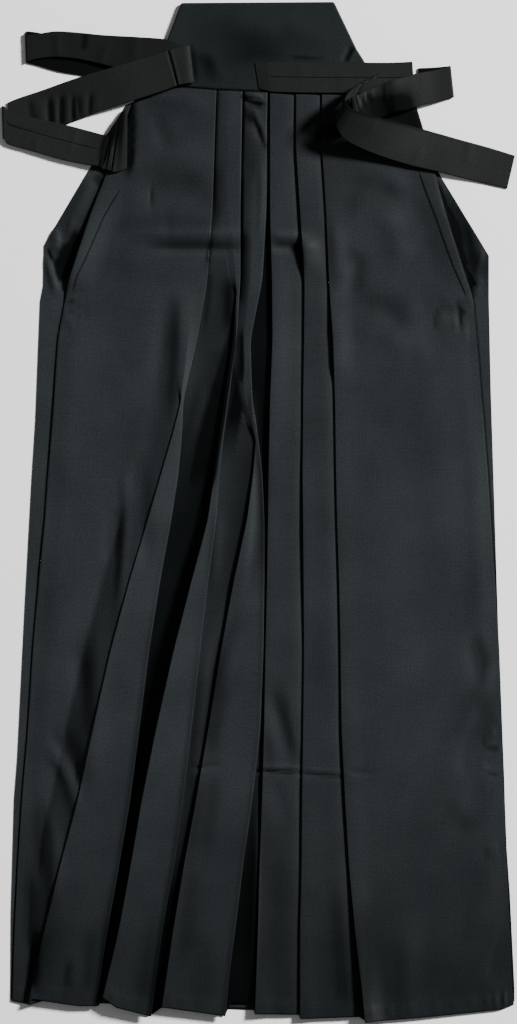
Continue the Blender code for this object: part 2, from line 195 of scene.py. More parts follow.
# The cloth's pattern. A thread is about 0.25 mm, and its weave is drawn at 0.9 mm, as coarse as it needs to
# show. A Noise texture's Scale is its spots to the metre: patches of 90 mm and specks of 2 mm. A slub is a
# thicker stretch of yarn, about 30 mm long along its own thread and 1.5 mm wide.
weaving = {
    "thread": 0.9, "slubStretch": {"X": (700.0, 32.0, 1.0), "Y": (28.0, 640.0, 1.0)},
    "slubs": {"Scale": 1.0, "Detail": 3.0}, "slubShare": 0.3,
    "patches": {"Scale": 11.0, "Detail": 3.0, "Roughness": 0.55},
    "specks": {"Scale": 520.0, "Detail": 2.0},
    "toneRange": {"From Min": 0.55, "From Max": 1.05},
    "speckRange": {"From Min": 0.3, "From Max": 0.7, "To Min": 0.8, "To Max": 1.2},
    "glossRange": (0.35, 0.65), "glossSpread": 0.05,
    "slubBump": {"Strength": 0.2, "Distance": 0.0003}, "weaveBump": {"Strength": 0.3, "Distance": 0.0001},
}


def wovenCloth(name, finish):
    # Polyester and wool plain weave, pressed: an even dark cloth with a low satin sheen, with a painted
    # highlight along the hakama's fold edges, a painted dark outline along the ties and board, and painted
    # shade in folds, hollows and shadows.
    material, shader = newMaterial(name, {
        "Specular IOR Level": 0.08, "Sheen Weight": finish["sheen"], "Sheen Roughness": 0.45,
        "Sheen Tint": toLinear(finish["sheenTint"])})
    tree = material.node_tree
    onCloth = {"Vector": addNode(tree, "ShaderNodeUVMap", uv_map="weave").outputs[0]}
    pressed, deep = (addNode(tree, "ShaderNodeAttribute", attribute_name=mark).outputs[2]
                     for mark in ("pressed", "deep"))
    # a band of a Wave texture repeats every pi / 10 / scale
    waveScale = math.pi / 10.0 / (weaving["thread"] / page["perMetre"])
    waves = {"Scale": waveScale, "Distortion": 0.6, "Detail": 1.0}
    threads, slubs = [], []
    for direction, stretch in weaving["slubStretch"].items():
        wave = addNode(tree, "ShaderNodeTexWave", waves, onCloth, bands_direction=direction)
        threads.append(wave.outputs[1])
        drawnOut = addNode(tree, "ShaderNodeMapping", {"Scale": stretch}, onCloth)
        slubs.append(addNode(tree, "ShaderNodeTexNoise", weaving["slubs"], {"Vector": drawnOut}))
    weave = addNode(tree, "ShaderNodeMath", links=dict(enumerate(threads)), operation="ADD")
    slub = addNode(tree, "ShaderNodeMath", links=dict(enumerate(slubs)), operation="ADD")
    patches = addNode(tree, "ShaderNodeTexNoise", weaving["patches"], onCloth)
    specks = addNode(tree, "ShaderNodeTexNoise", weaving["specks"], onCloth)
    tone = addNode(tree, "ShaderNodeMath", {1: weaving["slubShare"]}, {0: slub, 2: patches},
                   operation="MULTIPLY_ADD")
    toneRange = addNode(tree, "ShaderNodeMapRange", weaving["toneRange"], {"Value": tone})
    base = addNode(tree, "ShaderNodeMix", {6: toLinear(finish["dark"]), 7: toLinear(finish["light"])},
                   {0: toneRange}, data_type="RGBA").outputs[2]
    speckRange = addNode(tree, "ShaderNodeMapRange", weaving["speckRange"], {"Value": specks})
    speckled = addNode(tree, "ShaderNodeVectorMath", links={0: base, 3: speckRange}, operation="SCALE")
    # painted edge tone: a painted highlight along the hakama's fold edges, a painted dark outline on the
    # ties and board
    pressedShare = addNode(tree, "ShaderNodeMath", {1: finish["pressed"]}, {0: pressed},
                           operation="MULTIPLY")
    edgePainted = addNode(tree, "ShaderNodeMix", {7: toLinear(finish["edge"])}, {0: pressedShare, 6: speckled},
                     data_type="RGBA").outputs[2]
    # painted shade in folds, hollows and shadows
    colour = addNode(tree, "ShaderNodeMix", {7: toLinear(finish["deep"])}, {0: deep, 6: edgePainted},
                     data_type="RGBA").outputs[2]
    patchLow, patchHigh = weaving["glossRange"]
    gloss = addNode(tree, "ShaderNodeMapRange", {
        "From Min": patchLow, "From Max": patchHigh, "To Min": finish["rough"] - weaving["glossSpread"],
        "To Max": finish["rough"] + weaving["glossSpread"]}, {"Value": patches})
    roughness = addNode(tree, "ShaderNodeMath", {1: finish["deepRough"]}, {0: deep, 2: gloss},
                        operation="MULTIPLY_ADD")
    slubBump = addNode(tree, "ShaderNodeBump", weaving["slubBump"], {"Height": slub})
    normal = addNode(tree, "ShaderNodeBump", weaving["weaveBump"], {"Height": weave, "Normal": slubBump})
    tree.links.new(colour, shader.inputs["Base Color"])
    tree.links.new(roughness.outputs[0], shader.inputs["Roughness"])
    tree.links.new(normal.outputs[0], shader.inputs["Normal"])
    return material


# dark to light is the cloth's own tone. The edge colour is painted along edges: a painted highlight on the
# hakama's fold edges, a painted dark outline on the ties and the board, mixed in up to the share that
# follows rough. The darkest colour is the painted shade in folds, hollows and shadows, and the last number
# is how much rougher the cloth is under that shade, smoother where it is negative.
hakamaFinish = {
    "dark": "#1e2123", "light": "#25292b", "edge": "#4a5356", "deep": "#020404", "sheenTint": "#9fb0bc",
    "sheen": 0.03, "rough": 0.55, "pressed": 0.12, "deepRough": -0.12,
}
tieFinish = {
    "dark": "#151817", "light": "#1b1e1d", "edge": "#060808", "deep": "#010202", "sheenTint": "#b0b4a8",
    "sheen": 0.02, "rough": 0.6, "pressed": 0.8, "deepRough": 0.35,
}
boardFinish = {
    "dark": "#131718", "light": "#181d1e", "edge": "#070a0b", "deep": "#030505", "sheenTint": "#9fb0bc",
    "sheen": 0.02, "rough": 0.55, "pressed": 0.7, "deepRough": -0.12,
}
threadFinish = {"dark": "#060808", "light": "#0e1112", "twist": 1800.0}


def sewingThread(name, finish):
    # Spun polyester sewing thread: a dull round yarn with a faint twist, about 0.6 mm from turn to turn
    material, shader = newMaterial(name, {"Roughness": 0.7, "Specular IOR Level": 0.1})
    tree = material.node_tree
    place = addNode(tree, "ShaderNodeTexCoord").outputs["Object"]
    twist = addNode(tree, "ShaderNodeTexNoise", {"Scale": finish["twist"], "Detail": 1.0}, {"Vector": place})
    colour = addNode(tree, "ShaderNodeMix", {6: toLinear(finish["dark"]), 7: toLinear(finish["light"])},
                     {0: twist}, data_type="RGBA")
    tree.links.new(colour.outputs[2], shader.inputs["Base Color"])
    return material


hakamaCloth = wovenCloth("pressedPolyesterWoolWeave", hakamaFinish)
tieCloth = wovenCloth("foldedTieWeave", tieFinish)
boardCloth = wovenCloth("boardCoverWeave", boardFinish)
seamThread = sewingThread("spunPolyesterThread", threadFinish)
print("materials made")

# the pleated fronts
cloth = {
    "wall": 0.6,
    "foldRadius": 0.45,     # centre line radius of a pressed fold
    "arcPoints": 5,         # points round each half of a fold
    "floor": 1.7,           # centre line of the front's lowest layer
    "lift": 0.6,            # the pleated middle stands this much higher than the side seams
    "liftOver": (10.0, 60.0), "liftFade": (250.0, 400.0),
    "lowest": 1.05,         # centre line of a front that lies flat on its back
    "waistZ": 1.2,          # height to which the waist edge is turned down
    # painted shade lies over the turned-down waist edge and fades out across waistShade
    "waistTurn": (-1.8, 0.6), "waistShade": (-0.5, 1.6),
    "waistFade": 60.0,      # length over which the waist edge's own line fades
    "lastRow": 926.0,
    "hemEase": 230.0,       # length over which the hem's own line takes over
    "hemTurn": 13.0,        # depth of the turned-up hem
    "hemLayer": 0.25,
    "puckerUp": 9.0, "puckerLength": 7.0, "puckerWidth": 2.2,
    "waveLength": 120.0, "waveHeight": 0.16,
}
edgeToCentre = cloth["foldRadius"] + cloth["wall"] / 2

# The waist edge and the hem, as distances down at places across.
waistLine = ((-130, -3), (-77, -2.6), (-44, 0.3), (32, 3.9), (87, 4.4), (155, 5))
hemLine = ((-249, 911), (-229, 915), (-227, 909), (-180, 916), (-160, 916), (-156, 907), (-142, 917),
           (-108, 926), (-96, 917), (-33, 926), (-29, 914), (-6, 914), (-4, 924), (40, 925), (42, 929),
           (103, 927), (107, 932), (163, 928), (243, 920), (256, 915))

# Rows of the mesh, (from, to, step), closer where the cloth is creased across.
hemRows = cloth["lastRow"] - 18.0
rowRuns = ((-1.8, 0.0, 0.9), (0.0, 14.0, 1.3), (14.0, hemRows, 5.2), (142.0, 172.0, 2.4),
           (676.0, 694.0, 2.0), (hemRows, cloth["lastRow"] + 0.5, 1.8))
legRows = np.unique(np.concatenate([np.arange(*run) for run in rowRuns]))
legRows = legRows[np.concatenate([[True], np.diff(legRows) > 0.7])]

rightLeg = {
    # fold lines: side is the panel's side edge, and one, two and three the pleat edges that face away
    "columns": ("down", "side", "one", "two", "three"),
    "folds": (
        (0, -119, -42, -16, 9), (60, -143, -44, -17, 8), (120, -167, -46, -18, 8),
        (190, -190, -51, -18, 4), (250, -201, -61, -22, -8), (312, -205, -75, -30, -6),
        (340, -207, -76, -34, -1), (385, -211, -80, -39, 4), (430, -214, -87, -42, 6),
        (490, -220, -98, -50, 6), (560, -226, -109, -58, 5), (640, -231, -119, -67, 2),
        (710, -237, -128, -75, -6), (776, -241, -139, -84, -15), (840, -244, -149, -95, -22),
        (926, -247, -161, -107, -33),
    ),
    "panelSlope": 90.0,         # width over which the side panel climbs to its first pleat
    "sideFlat": 14.0,           # least width of the panel that stays flat
    "narrowest": 3.0,           # a released pleat where it begins
    "tuck": 14.0,               # most that a released pleat keeps tucked under each edge
    "release": (-90.0, -20.0),  # a pleat comes open between these distances past its outer edge's first row
    "shutReach": (10.0, 7.0, 1.2),      # cloth before a pleat that isn't open yet, where it comes open
    "level": 0.02,              # the bend of a climb that is a straight slope
    "bottomPoints": 12,
}
# Each pleat comes free part way down and lies as a band with a second, outer edge.
# outer: (down, across). band: (down, height over the cloth before it). rise: how far that cloth climbs
# to the band. shade: the painted shade in the hollow before the band, at its start and end. tilt: how far
# the band slopes down to its inner edge. roll: painted shade along that inner edge. pocket: (down, left,
# right, share) of a patch of painted shade in a hollow. closed: height of the closed pleat. groove: width
# of the hollow just past the closed edge. depth: cloth tucked under the closed edge. climb: width of the
# rise. before and top: columns of the mesh.
rightPleats = {
    "one": {
        "outer": ((312, -78), (340, -85), (385, -98), (430, -111), (490, -129), (560, -148), (640, -166),
                  (710, -181), (776, -198), (840, -212), (926, -230)),
        "band": ((312, 1), (490, 1), (640, 1.2), (776, 1.4), (926, 2)),
        "rise": ((312, 2), (385, 4), (430, 5.5), (600, 6), (700, 4.6), (800, 3), (926, 1.5)),
        "tilt": ((312, 1), (490, 3), (640, 3.4), (700, 3), (776, 1.6), (926, 1.2)),
        "roll": ((400, 0), (520, 0.25), (600, 0.5), (926, 0.5)),
        "closed": 2.4, "groove": 60.0, "depth": 20.0, "climb": 27.0, "before": 46, "top": 17,
    },
    "two": {
        "outer": ((205, -22.5), (250, -26), (312, -34.8), (340, -38.8), (385, -45), (430, -51), (490, -67),
                  (560, -85), (640, -103), (710, -117), (776, -128), (840, -139), (926, -156)),
        "band": ((205, 1.5), (250, 2.5), (340, 3.5), (385, 5), (430, 6.5), (490, 8), (560, 8), (640, 6.5),
                 (710, 6), (776, 6), (926, 5)),
        "rise": ((205, 0.4), (300, 1), (381, 1.5), (430, 2.5), (560, 3), (700, 1.5), (926, 0.5)),
        "shade": ((150, 0, 0), (195, 0.3, 0.5), (240, 0.45, 0.5), (330, 0.5, 0.7), (370, 0.7, 1),
                  (430, 0.8, 1), (540, 0.8, 0.85), (926, 0.8, 0.8)),
        "tilt": ((381, 0), (490, 0.8), (560, 1.8), (640, 2.2), (926, 2.2)),
        "roll": ((470, 0), (600, 0.35), (700, 0.5), (926, 0.5)),
        "pocket": ((185, -32, -22, 0), (215, -30, -22, 0.5), (238, -30, -22, 0.9), (255, -36, -22, 1),
                   (298, -49, -29, 1), (327, -58, -33, 1), (357, -66, -38, 1), (386, -72, -42, 1),
                   (400, -73, -46, 0.9), (480, -95, -61, 0)),
        "closed": 2.6, "groove": 4.5, "depth": 10.0, "climb": 60.0, "before": 24, "top": 13,
    },
    "three": {
        "outer": ((350, -3), (385, -6), (430, -12), (490, -25), (560, -38), (640, -51), (710, -63),
                  (776, -75), (840, -85), (926, -97)),
        "band": ((350, 1.8), (385, 2.2), (430, 2.8), (490, 3), (560, 2.4), (776, 2.6), (926, 4.5)),
        "rise": ((350, 0.6), (430, 0.8), (640, 0.6), (926, 0.4)),
        "shade": ((280, 0, 0), (380, 0.1, 0.8), (430, 0.2, 0.95), (530, 0.2, 0.4), (620, 0.2, 0.5),
                  (760, 0.3, 0.5), (830, 0.7, 1), (926, 1, 1)),
        "tilt": ((350, 0), (560, 0), (700, 1), (926, 1)),
        "roll": ((340, 0), (375, 0.6), (430, 0.8), (520, 0.35), (600, 0.2), (926, 0.3)),
        "pocket": ((20, -16, -13.5, 0.7), (136, -18, -14.5, 0.8), (142, -21, -14.5, 1), (158, -18, -13, 1),
                   (190, -19, -14, 1), (235, -21, -15.5, 1), (278, -24, -14, 1), (298, -27, -16, 1),
                   (317, -31, -15.5, 1), (327, -33, -17, 1), (347, -38, -20, 0.7), (370, -42, -24, 0.3),
                   (390, -44, -28, 0)),
        "closed": 3.0, "groove": 3.2, "depth": 10.0, "climb": 60.0, "before": 18, "top": 18,
    },
}
# Painted shade in the deep gap between the two legs: (down, share).
centrePaintedShade = ((0, 0.1), (60, 0.3), (110, 0.5), (150, 0.9), (340, 1), (400, 0.6), (560, 0.5), (680, 0.55),
                (800, 0.8), (926, 0.9))

leftLeg = {
    "columns": ("down", "one", "two", "three", "side"),
    "folds": (
        (0, 11, 37, 63, 155), (60, 11, 37, 63, 171), (120, 11, 41, 67, 186), (190, 13, 45.5, 70, 208.5),
        (207, 13.1, 45.4, 71, 215), (250, 13.5, 45, 74, 219), (312, 11, 44, 76, 224),
        (385, 9.5, 43.5, 77, 230), (430, 9, 44, 78, 233), (490, 8, 44.5, 80, 237),
        (560, 6.5, 45, 81.5, 241), (640, 5, 44, 82.5, 244), (710, 3, 43, 86, 246.5),
        (776, 0.5, 42.5, 90, 249), (840, -1, 41, 96, 252), (926, -4, 41, 106, 255.5),
    ),
    "closed": 1.5,          # height of a closed pleat
    "under": 10.0,          # how far a pleat's cloth reaches past the next pleat's edge
    "start": 2.3,           # the first column, in from the first pleat's edge
    "gapeSlope": 24.0,      # width over which a gaping pleat comes down again
    "panelSlope": 100.0,
    "panelPoints": 52,
}
# How far each pleat's edge stands off the cloth below it, over the closed height: (down, height).
# depth: cloth tucked under the edge. top: columns of the mesh over the pleat.
leftPleats = {
    "one": {"gape": ((0, 0.3), (100, 0.6), (160, 1.4), (210, 2), (320, 2), (390, 1.4), (520, 1.4),
                     (600, 0.4), (780, 0.4), (926, 2)),
            "depth": 10.0, "top": 16},
    "two": {"gape": ((0, 0.1), (60, 0.8), (140, 1.2), (158, 4.6), (172, 3.4), (188, 0.8), (340, 0.3),
                     (440, 1.5), (500, 1), (556, 0.1), (640, 0.2), (700, 0.7), (800, 0.5), (926, 1.2)),
            "depth": 10.0, "top": 16},
    "three": {"gape": ((0, 0.2), (150, 0.2), (200, 0.6), (240, 2.6), (275, 2.4), (292, 0.4), (440, 0.4),
                       (600, 0.6), (690, 1.2), (780, 1), (850, 3.2), (926, 6.4)),
              "depth": 20.0},
}

# Soft folds over both fronts.
frontFolds = (
    # the wearer's right panel, seen on the left
    (-78, 205, -84, 330, 9, 12, 2.4, 3), (-92, 215, -116, 400, 11, 16, -1.6, 4),
    (-134, 385, -141, 515, 3.5, 6, 1.6, 3), (-146, 420, -150, 470, 6, 7, -1.3),
    (-118, 370, -112, 480, 9, 8, -1.2), (-160, 520, -166, 690, 14, 12, 1.6, -4),
    (-178, 560, -170, 655, 9, 10, -1.6), (-206, 638, -176, 704, 8, 10, -1.5, 5),
    (-212, 655, -181, 725, 6, 9, 1.5, 5), (-222, 710, -219, 800, 7, 8, -2, -4),
    (-208, 720, -206, 830, 7, 8, 1.4, 3), (-232, 860, -226, 926, 8, 8, -1.6),
    (-196, 470, -204, 640, 18, 22, 1), (-230, 300, -236, 520, 8, 14, 1.1),
    (-186, 230, -196, 420, 20, 24, 0.9), (-150, 92, -48, 66, 9, 12, 1.4, 8),
    (-120, 108, -52, 100, 13, 11, -1.4, 7), (-142, 132, -46, 128, 8, 9, 1.3, 6),
    (-152, 168, -56, 176, 11, 13, 0.8, -4), (-108, 96, -106, 122, 2, 2, -0.7),
    (-116, 10, -50, 20, 7, 9, 1, 2), (-106, 26, -92, 62, 7, 10, -1), (-92, 120, -90, 150, 5, 5, -0.4),
    # strips
    (-16, 3, 6, 7, 2.4, 3, 0.9, 1), (-14, 11, 6, 13, 1.6, 2, -1.2), (-11, 22, 4, 48, 3, 4, -1.2),
    (-7, 22, 8, 50, 2.4, 3.4, 1), (-9, 54, -12, 88, 5, 6, -1.1), (2, 60, 0, 150, 4, 3, 0.5, 2),
    (-6, 300, -2, 345, 3, 4, 1, -2), (-33, 255, -47, 300, 7, 9, 0.8), (-56, 295, -72, 350, 5, 6, 0.7, 2),
    (-40, 420, -46, 500, 5, 6, 1.2), (-52, 560, -66, 700, 5, 5, 1), (-2, 350, -10, 500, 5, 8, -1.2, 4),
    (-26, 500, -48, 590, 8, 9, -1, 3), (-36, 590, -52, 676, 9, 7, -1.3), (-46, 684, -58, 770, 9, 7, -1.2),
    (-3, 705, -8, 926, 4, 3, 1.8, 2), (13, 600, 38, 676, 11, 4, -1.7), (14, 690, 30, 742, 9, 8, -0.8),
    (20, 735, 14, 850, 11, 9, -0.5), (52, 800, 60, 900, 10, 10, -0.4),
    # the wearer's left panel, seen on the right
    (92, 120, 150, 92, 8, 10, 1.4, 6), (88, 96, 140, 106, 9, 9, -1.3, 4), (76, 130, 80, 196, 7, 9, 1.2),
    (100, 165, 86, 205, 7, 8, -1.4, 4), (126, 122, 140, 176, 13, 15, 1.8, 6),
    (150, 150, 188, 108, 9, 12, 1.2), (90, 212, 148, 232, 9, 12, -1.6, 4),
    (96, 240, 150, 262, 12, 16, 1.4, 6), (164, 196, 176, 268, 12, 14, -1),
    (182, 210, 216, 214, 5, 6, 1.2, 3), (184, 222, 214, 232, 5, 5, -1.2, 2),
    (118, 330, 132, 620, 26, 30, 0.9, 6), (176, 300, 186, 520, 22, 26, 0.9),
    (218, 330, 224, 560, 12, 12, 0.8), (216, 545, 222, 600, 9, 8, -1.4),
    (232, 570, 202, 640, 9, 9, 1.5, 4), (226, 606, 206, 690, 10, 11, -1.4),
    (238, 640, 224, 652, 3, 4, 1.3), (240, 664, 228, 676, 3, 4, -1.2),
    (222, 690, 190, 756, 10, 12, -1.2, 5), (240, 760, 228, 764, 3, 3, 1.2),
    (118, 800, 120, 926, 13, 15, -0.7, 4), (146, 820, 144, 926, 11, 13, 0.5),
    (168, 810, 160, 915, 12, 14, -0.6), (-182, 872, -184, 914, 3.5, 4.5, 1.2),
    (236, 770, 214, 850, 12, 14, 0.9), (244, 850, 232, 895, 6, 7, -1),
    # the folds of storage, pressed across
    (-116, 145, -12, 144, 7, 4, 1.4), (-112, 159, -14, 160, 5, 4, -1.5), (12, 146, 46, 146, 5, 3, 1.3),
    (12, 158, 44, 158, 4, 4, -1.2), (-2, 682, 40, 683, 1.4, 1.6, -1.7), (-2, 677, 44, 678, 2.2, 2.2, 0.9),
    (42, 685, 86, 687, 1.8, 2, -1.2), (44, 680, 84, 682, 2.4, 2.4, 0.5),
    # below the side openings
    (-194, 207, -176, 216, 2.4, 2.6, 0.9), (-193, 214, -170, 228, 2.6, 2.6, -0.8, 2),
    (-196, 222, -184, 240, 2.4, 3, 0.7), (-199, 210, -196, 226, 2, 2, -0.6),
    (212, 211, 186, 206, 2, 2, -0.8), (200, 214, 202, 238, 2, 2.6, -1.5, 2),
    (193, 215, 195, 240, 3.5, 3.5, 0.6, 2), (184, 216, 179, 242, 3, 3, -1.2, -3),
    (196, 216, 214, 226, 1.6, 1.6, -0.8), (208, 228, 206, 252, 3.5, 3.5, 0.4),
    (88, 682, 118, 684, 3, 3, -0.5), (-66, 680, -36, 674, 3, 3, -1), (-66, 674, -36, 668, 3, 3, 0.8),
)
# Painted shade, darker under the waist and towards the hem: (down, share).
paintedShadeDown = ((0, 0.16), (120, 0.13), (250, 0), (560, 0), (700, 0.1), (780, 0.2), (860, 0.38), (926, 0.46))
# Painted shade where the cloth lies deep, and the painted cast shadow beside the looped tie, given as soft
# folds are.
frontPaintedShade = (
    (-126.5, 14, -129.5, 84, 4.4, 4.4, 2), (-17, 5, -9, 9.5, 1.6, 1.6, 3),
    (-10, 9.5, 4, 12.5, 1.5, 1.7, 3, -1), (46, 41, 64, 45, 8, 7, 0.8), (64, 38, 88, 46, 6, 6, 1.4),
    (112, 20, 168, 40, 18, 20, 1.5), (34, 154, 43, 172, 3.5, 4, 1.2), (41, 154, 44, 182, 2, 2.5, 1),
    (-106, 154, -12, 154, 5, 5, 0.45), (12, 153, 44, 153, 4, 4, 0.4), (2, 683, 38, 684, 1, 1, 0.9),
    (44, 687, 84, 688, 1, 1, 0.5), (-48, 150, -52, 176, 2, 2.5, 0.6), (-41, -20, -45.4, 132, 1, 1.3, 0.8),
    (-45, 116, -51.5, 200, 1, 1.2, 0.5), (-40.5, 74, -41, 140, 2.4, 6.6, 0.45, -2),
    (-38.5, 80, -36, 98, 1.6, 1.8, 0.4), (-12, 60, -10, 97, 4, 5, 0.4, 2), (-8, 20, 4, 46, 1.6, 2.4, 0.8),
    (-1, 38, 8, 60, 1.2, 1.8, 0.8), (-14, 16, -10, 40, 1.5, 2, 0.5), (26, 300, 24, 640, 14, 14, 0.14),
    (60, 60, 62, 640, 13, 13, 0.2), (-80, 205, -92, 268, 8, 10, 0.28), (-30, 186, -31, 244, 6, 6, 0.45),
    (-47, 178, -54, 240, 3, 3, 0.35), (-190, 880, -191, 914, 3, 3, 0.3),
    (-212, 850, -226, 920, 7, 7, 0.18), (-164, 840, -174, 920, 9, 10, 0.24),
    (-104, 820, -118, 926, 9, 9, 0.28), (-50, 850, -58, 926, 12, 12, 0.16),
    (-96, 262, -138, 410, 10, 12, 0.22), (-112, 92, -52, 90, 14, 14, 0.24),
    (-106.5, 97, -107.5, 118, 1.2, 1.4, 0.6), (-168, 545, -177, 655, 8, 8, 0.32),
    (-207, 640, -181, 674, 5, 6, 0.3), (-181, 668, -180.5, 694, 2, 2, 0.8),
    (-222, 705, -219, 788, 6, 6, 0.4), (-229, 770, -226, 870, 8, 10, 0.32),
    (-221, 852, -225, 914, 5, 3.5, 0.9), (-35, 545, -55, 676, 5, 9, 0.6),
    (-56, 684, -68, 772, 6, 14, 0.45), (-66, 770, -76, 880, 6, 14, 0.25), (24, 590, 36, 682, 9, 3, 0.32),
    (9, 640, 12, 684, 4, 6, 0.25), (12, 690, 14, 915, 11, 18, 0.18), (76, 790, 86, 926, 8, 8, 0.3),
    (80, 90, 140, 108, 12, 13, 0.2), (90, 156, 106, 204, 7, 7, 0.22),
    (84, 214, 154, 240, 12, 15, 0.24, 4), (210, 550, 236, 580, 9, 9, 0.3),
    (222, 598, 236, 655, 12, 9, 0.28), (190, 712, 214, 742, 9, 9, 0.24),
    (229, 760, 244, 761, 1.6, 1.6, 0.5), (228, 658, 241, 659, 1.6, 1.6, 0.5),
    (229, 682, 240, 686, 1.8, 1.8, 0.4), (106, 800, 112, 926, 8, 13, 0.3),
    (142, 850, 144, 926, 8, 8, 0.12), (-205, 780, -212, 915, 14, 14, 0.2),
    (199.5, 212, 201, 240, 1.8, 2.4, 0.8, 2), (182, 216, 178, 242, 2.4, 3, 0.5, -3),
    (188, 208, 213, 211, 1.3, 1.3, 0.6), (196, 217, 215, 227, 1, 1, 0.6),
    (-194, 208, -178, 216, 1.6, 1.6, 0.4), (-192, 222, -176, 230, 1.4, 1.4, 0.4, 2),
)
# Puckers of the blind stitches over the hem: (across, height).
hemPuckers = ((-214, 0.5), (-204, 0.4), (-188, 0.7), (-175, 0.5), (-145, 0.5), (-132, 0.6), (-118, 0.4),
              (-88, 0.4), (-74, 0.5), (-55, 0.4), (8, 0.4), (22, 0.5), (52, 0.5), (66, 0.6), (82, 0.5),
              (114, 0.6), (131, 0.8), (142, 0.5), (152, 0.8), (178, 0.6), (197, 0.7), (214, 0.5),
              (229, 0.8), (237, 0.9), (246, 0.9))

# The side openings. top and bottom: where each is stitched. inset: (down, distance of the stitch line from
# its edge). gape: (down, height of its edge off the back). edge: how much shade is painted along its edge.
opening = {
    "edgeColumns": (0.3, 0.8, 1.6), "betweenShares": (0.25, 0.5, 0.75),
    "lineColumns": (-2.6, -1.6, -1.0, -0.5, 0.0, 0.5, 1.0, 1.6, 3.0),
    "grooveWidth": 0.8, "grooveDepth": 0.12, "grooveShade": 0.95, "layer": 0.2, "layerEdge": 1.2,
    "spread": 32.0, "seamDrop": 0.65, "seamSlope": (1.0, 20.0), "round": 0.25, "roundWidth": 1.8,
    "right": {"top": 101.0, "bottom": 202.0, "edge": 0.6,
              "inset": ((60, 21), (100, 20), (128, 14), (150, 11.8), (170, 9.8), (185, 7), (212, 6)),
              "gape": ((60, 0), (95, 0.4), (120, 1), (145, 3), (165, 4.4), (185, 3.6), (202, 0.6),
                       (212, 0))},
    "left": {"top": 84.0, "bottom": 207.0, "edge": 1.0,
             "inset": ((60, 17), (90, 15.5), (124, 11.5), (170, 10), (195, 7.5), (216, 6)),
             "gape": ((60, 0), (95, 0.8), (130, 2), (160, 2), (190, 1.4), (207, 0.4), (216, 0))},
}


def sFold(startX, endX, startZ, tall, turn):
    # one pleat edge on every row: in along startZ, half round a circle, across to a second circle and half
    # round it, out at startZ + turn * tall. Where endX lies back past startX the cloth is tucked under.
    radius, count = cloth["foldRadius"], cloth["arcPoints"]
    ahead, above = endX - startX, tall - 2.0 * radius
    distance = np.maximum(np.hypot(ahead, above), 1e-6)
    angle = (np.arctan2(above, ahead) + np.arcsin(np.minimum(1.0, 2.0 * radius / distance)))[:, None]
    steps = np.linspace(0.0, 1.0, count)
    spread = np.maximum(0.0, np.cos(angle)) * (np.arange(count) - count / 2 + 0.5) * 0.4
    first, second = steps * angle - math.pi / 2, angle + math.pi / 2 - steps * angle
    xs = np.hstack([startX[:, None] + radius * np.cos(first) + spread,
                    endX[:, None] + radius * np.cos(second) + spread])
    zs = np.hstack([radius + radius * np.sin(first), tall[:, None] - radius + radius * np.sin(second)])
    return xs, startZ[:, None] + turn * zs


def startPath(x):
    # a section across a leg: parts of a row for x, z, the painted edge tone and the painted shade, on every
    # row of the mesh
    blank = np.zeros((len(x), 1))
    return {"x": [x[:, None]], "z": [blank], "pressed": [blank + 0.8], "deep": [blank]}


def addPart(path, **columns):
    # joins a stretch of columns to each part of the section, and counts its columns so far
    for key, values in columns.items():
        path[key].append(values)
    return sum(part.shape[1] for part in path["x"])


def openColumns(downs, side):
    # distances of the mesh's columns from the edge of an opening: close at the edge and at the stitch line
    inset = readTable(side["inset"], downs)[:, None]
    ends = np.broadcast_to(np.array(opening["edgeColumns"]), (len(downs), len(opening["edgeColumns"])))
    closest, lines = opening["edgeColumns"][-1], inset + np.array(opening["lineColumns"])
    between = closest + (lines[:, :1] - closest) * np.array(opening["betweenShares"])
    return np.hstack([ends, between, lines])


def addRun(path, endX, count, deep=None, near=None, far=None):
    # a plain stretch: points at set distances past its start and short of its end, and a number between,
    # closer together towards both ends. The painted shade is given for its start and its end.
    startX, startZ = path["x"][-1][:, -1:], path["z"][-1][:, -1:]
    if far is None:
        ahead = endX - startX[:, 0]
        endX = endX - np.sign(ahead) * np.minimum(1.3, 0.3 * np.abs(ahead))
    first = startX if near is None else np.hstack([startX, startX + near])
    last = endX[:, None] if far is None else np.hstack([endX[:, None] - far, endX[:, None]])
    share = 0.5 - 0.5 * np.cos(math.pi * np.arange(1, count + 1) / (count + 1))
    x = np.hstack([first[:, 1:], first[:, -1:] + (last[:, :1] - first[:, -1:]) * share, last[:, :-1]])
    blank = np.zeros_like(x)
    paintedShadeLevel = blank
    if deep is not None:
        place = np.clip((x - startX) / np.maximum(endX[:, None] - startX, 0.5), 0.0, 1.0)
        paintedShadeLevel = deep[0][:, None] * (1.0 - place) + deep[1][:, None] * place
    addPart(path, x=x, z=blank + startZ, pressed=blank, deep=paintedShadeLevel)


def addFold(path, startX, endX, tall, turn, pressed):
    # the visible edge is the second half of a fold that rises and the first half of one that falls
    x, z = sFold(startX, endX, path["z"][-1][:, -1], tall, turn)
    half = cloth["arcPoints"]
    edge, under = np.zeros_like(x), np.zeros_like(x)
    # a rising fold gets a painted highlight along its top and painted shade on its half that goes under; a
    # falling fold gets painted shade that deepens as it goes under
    if turn > 0:
        shine = 0.35 + 0.65 * np.sin(np.linspace(0.2, math.pi - 0.2, half))
        edge[:, half:] = shine * pressed[:, None]
        under[:, :half] = 1.0
    else:
        under[:, :half] = np.linspace(0.15, 0.75, half)
        under[:, half:] = 1.0
    return addPart(path, x=x, z=z, pressed=edge, deep=under * np.minimum(1.0, pressed)[:, None])


def climb(x, start, stop, height, bend):
    # height * (1 - e^(-bend t)) / (1 - e^-bend), t from 0 at start to 1 at stop: steep at first, then level
    share = np.clip((x - start[:, None]) / np.maximum(stop - start, 1e-3)[:, None], 0.0, 1.0)
    bend = bend[:, None]
    return height[:, None] * (1.0 - np.exp(-bend * share)) / (1.0 - np.exp(-bend))


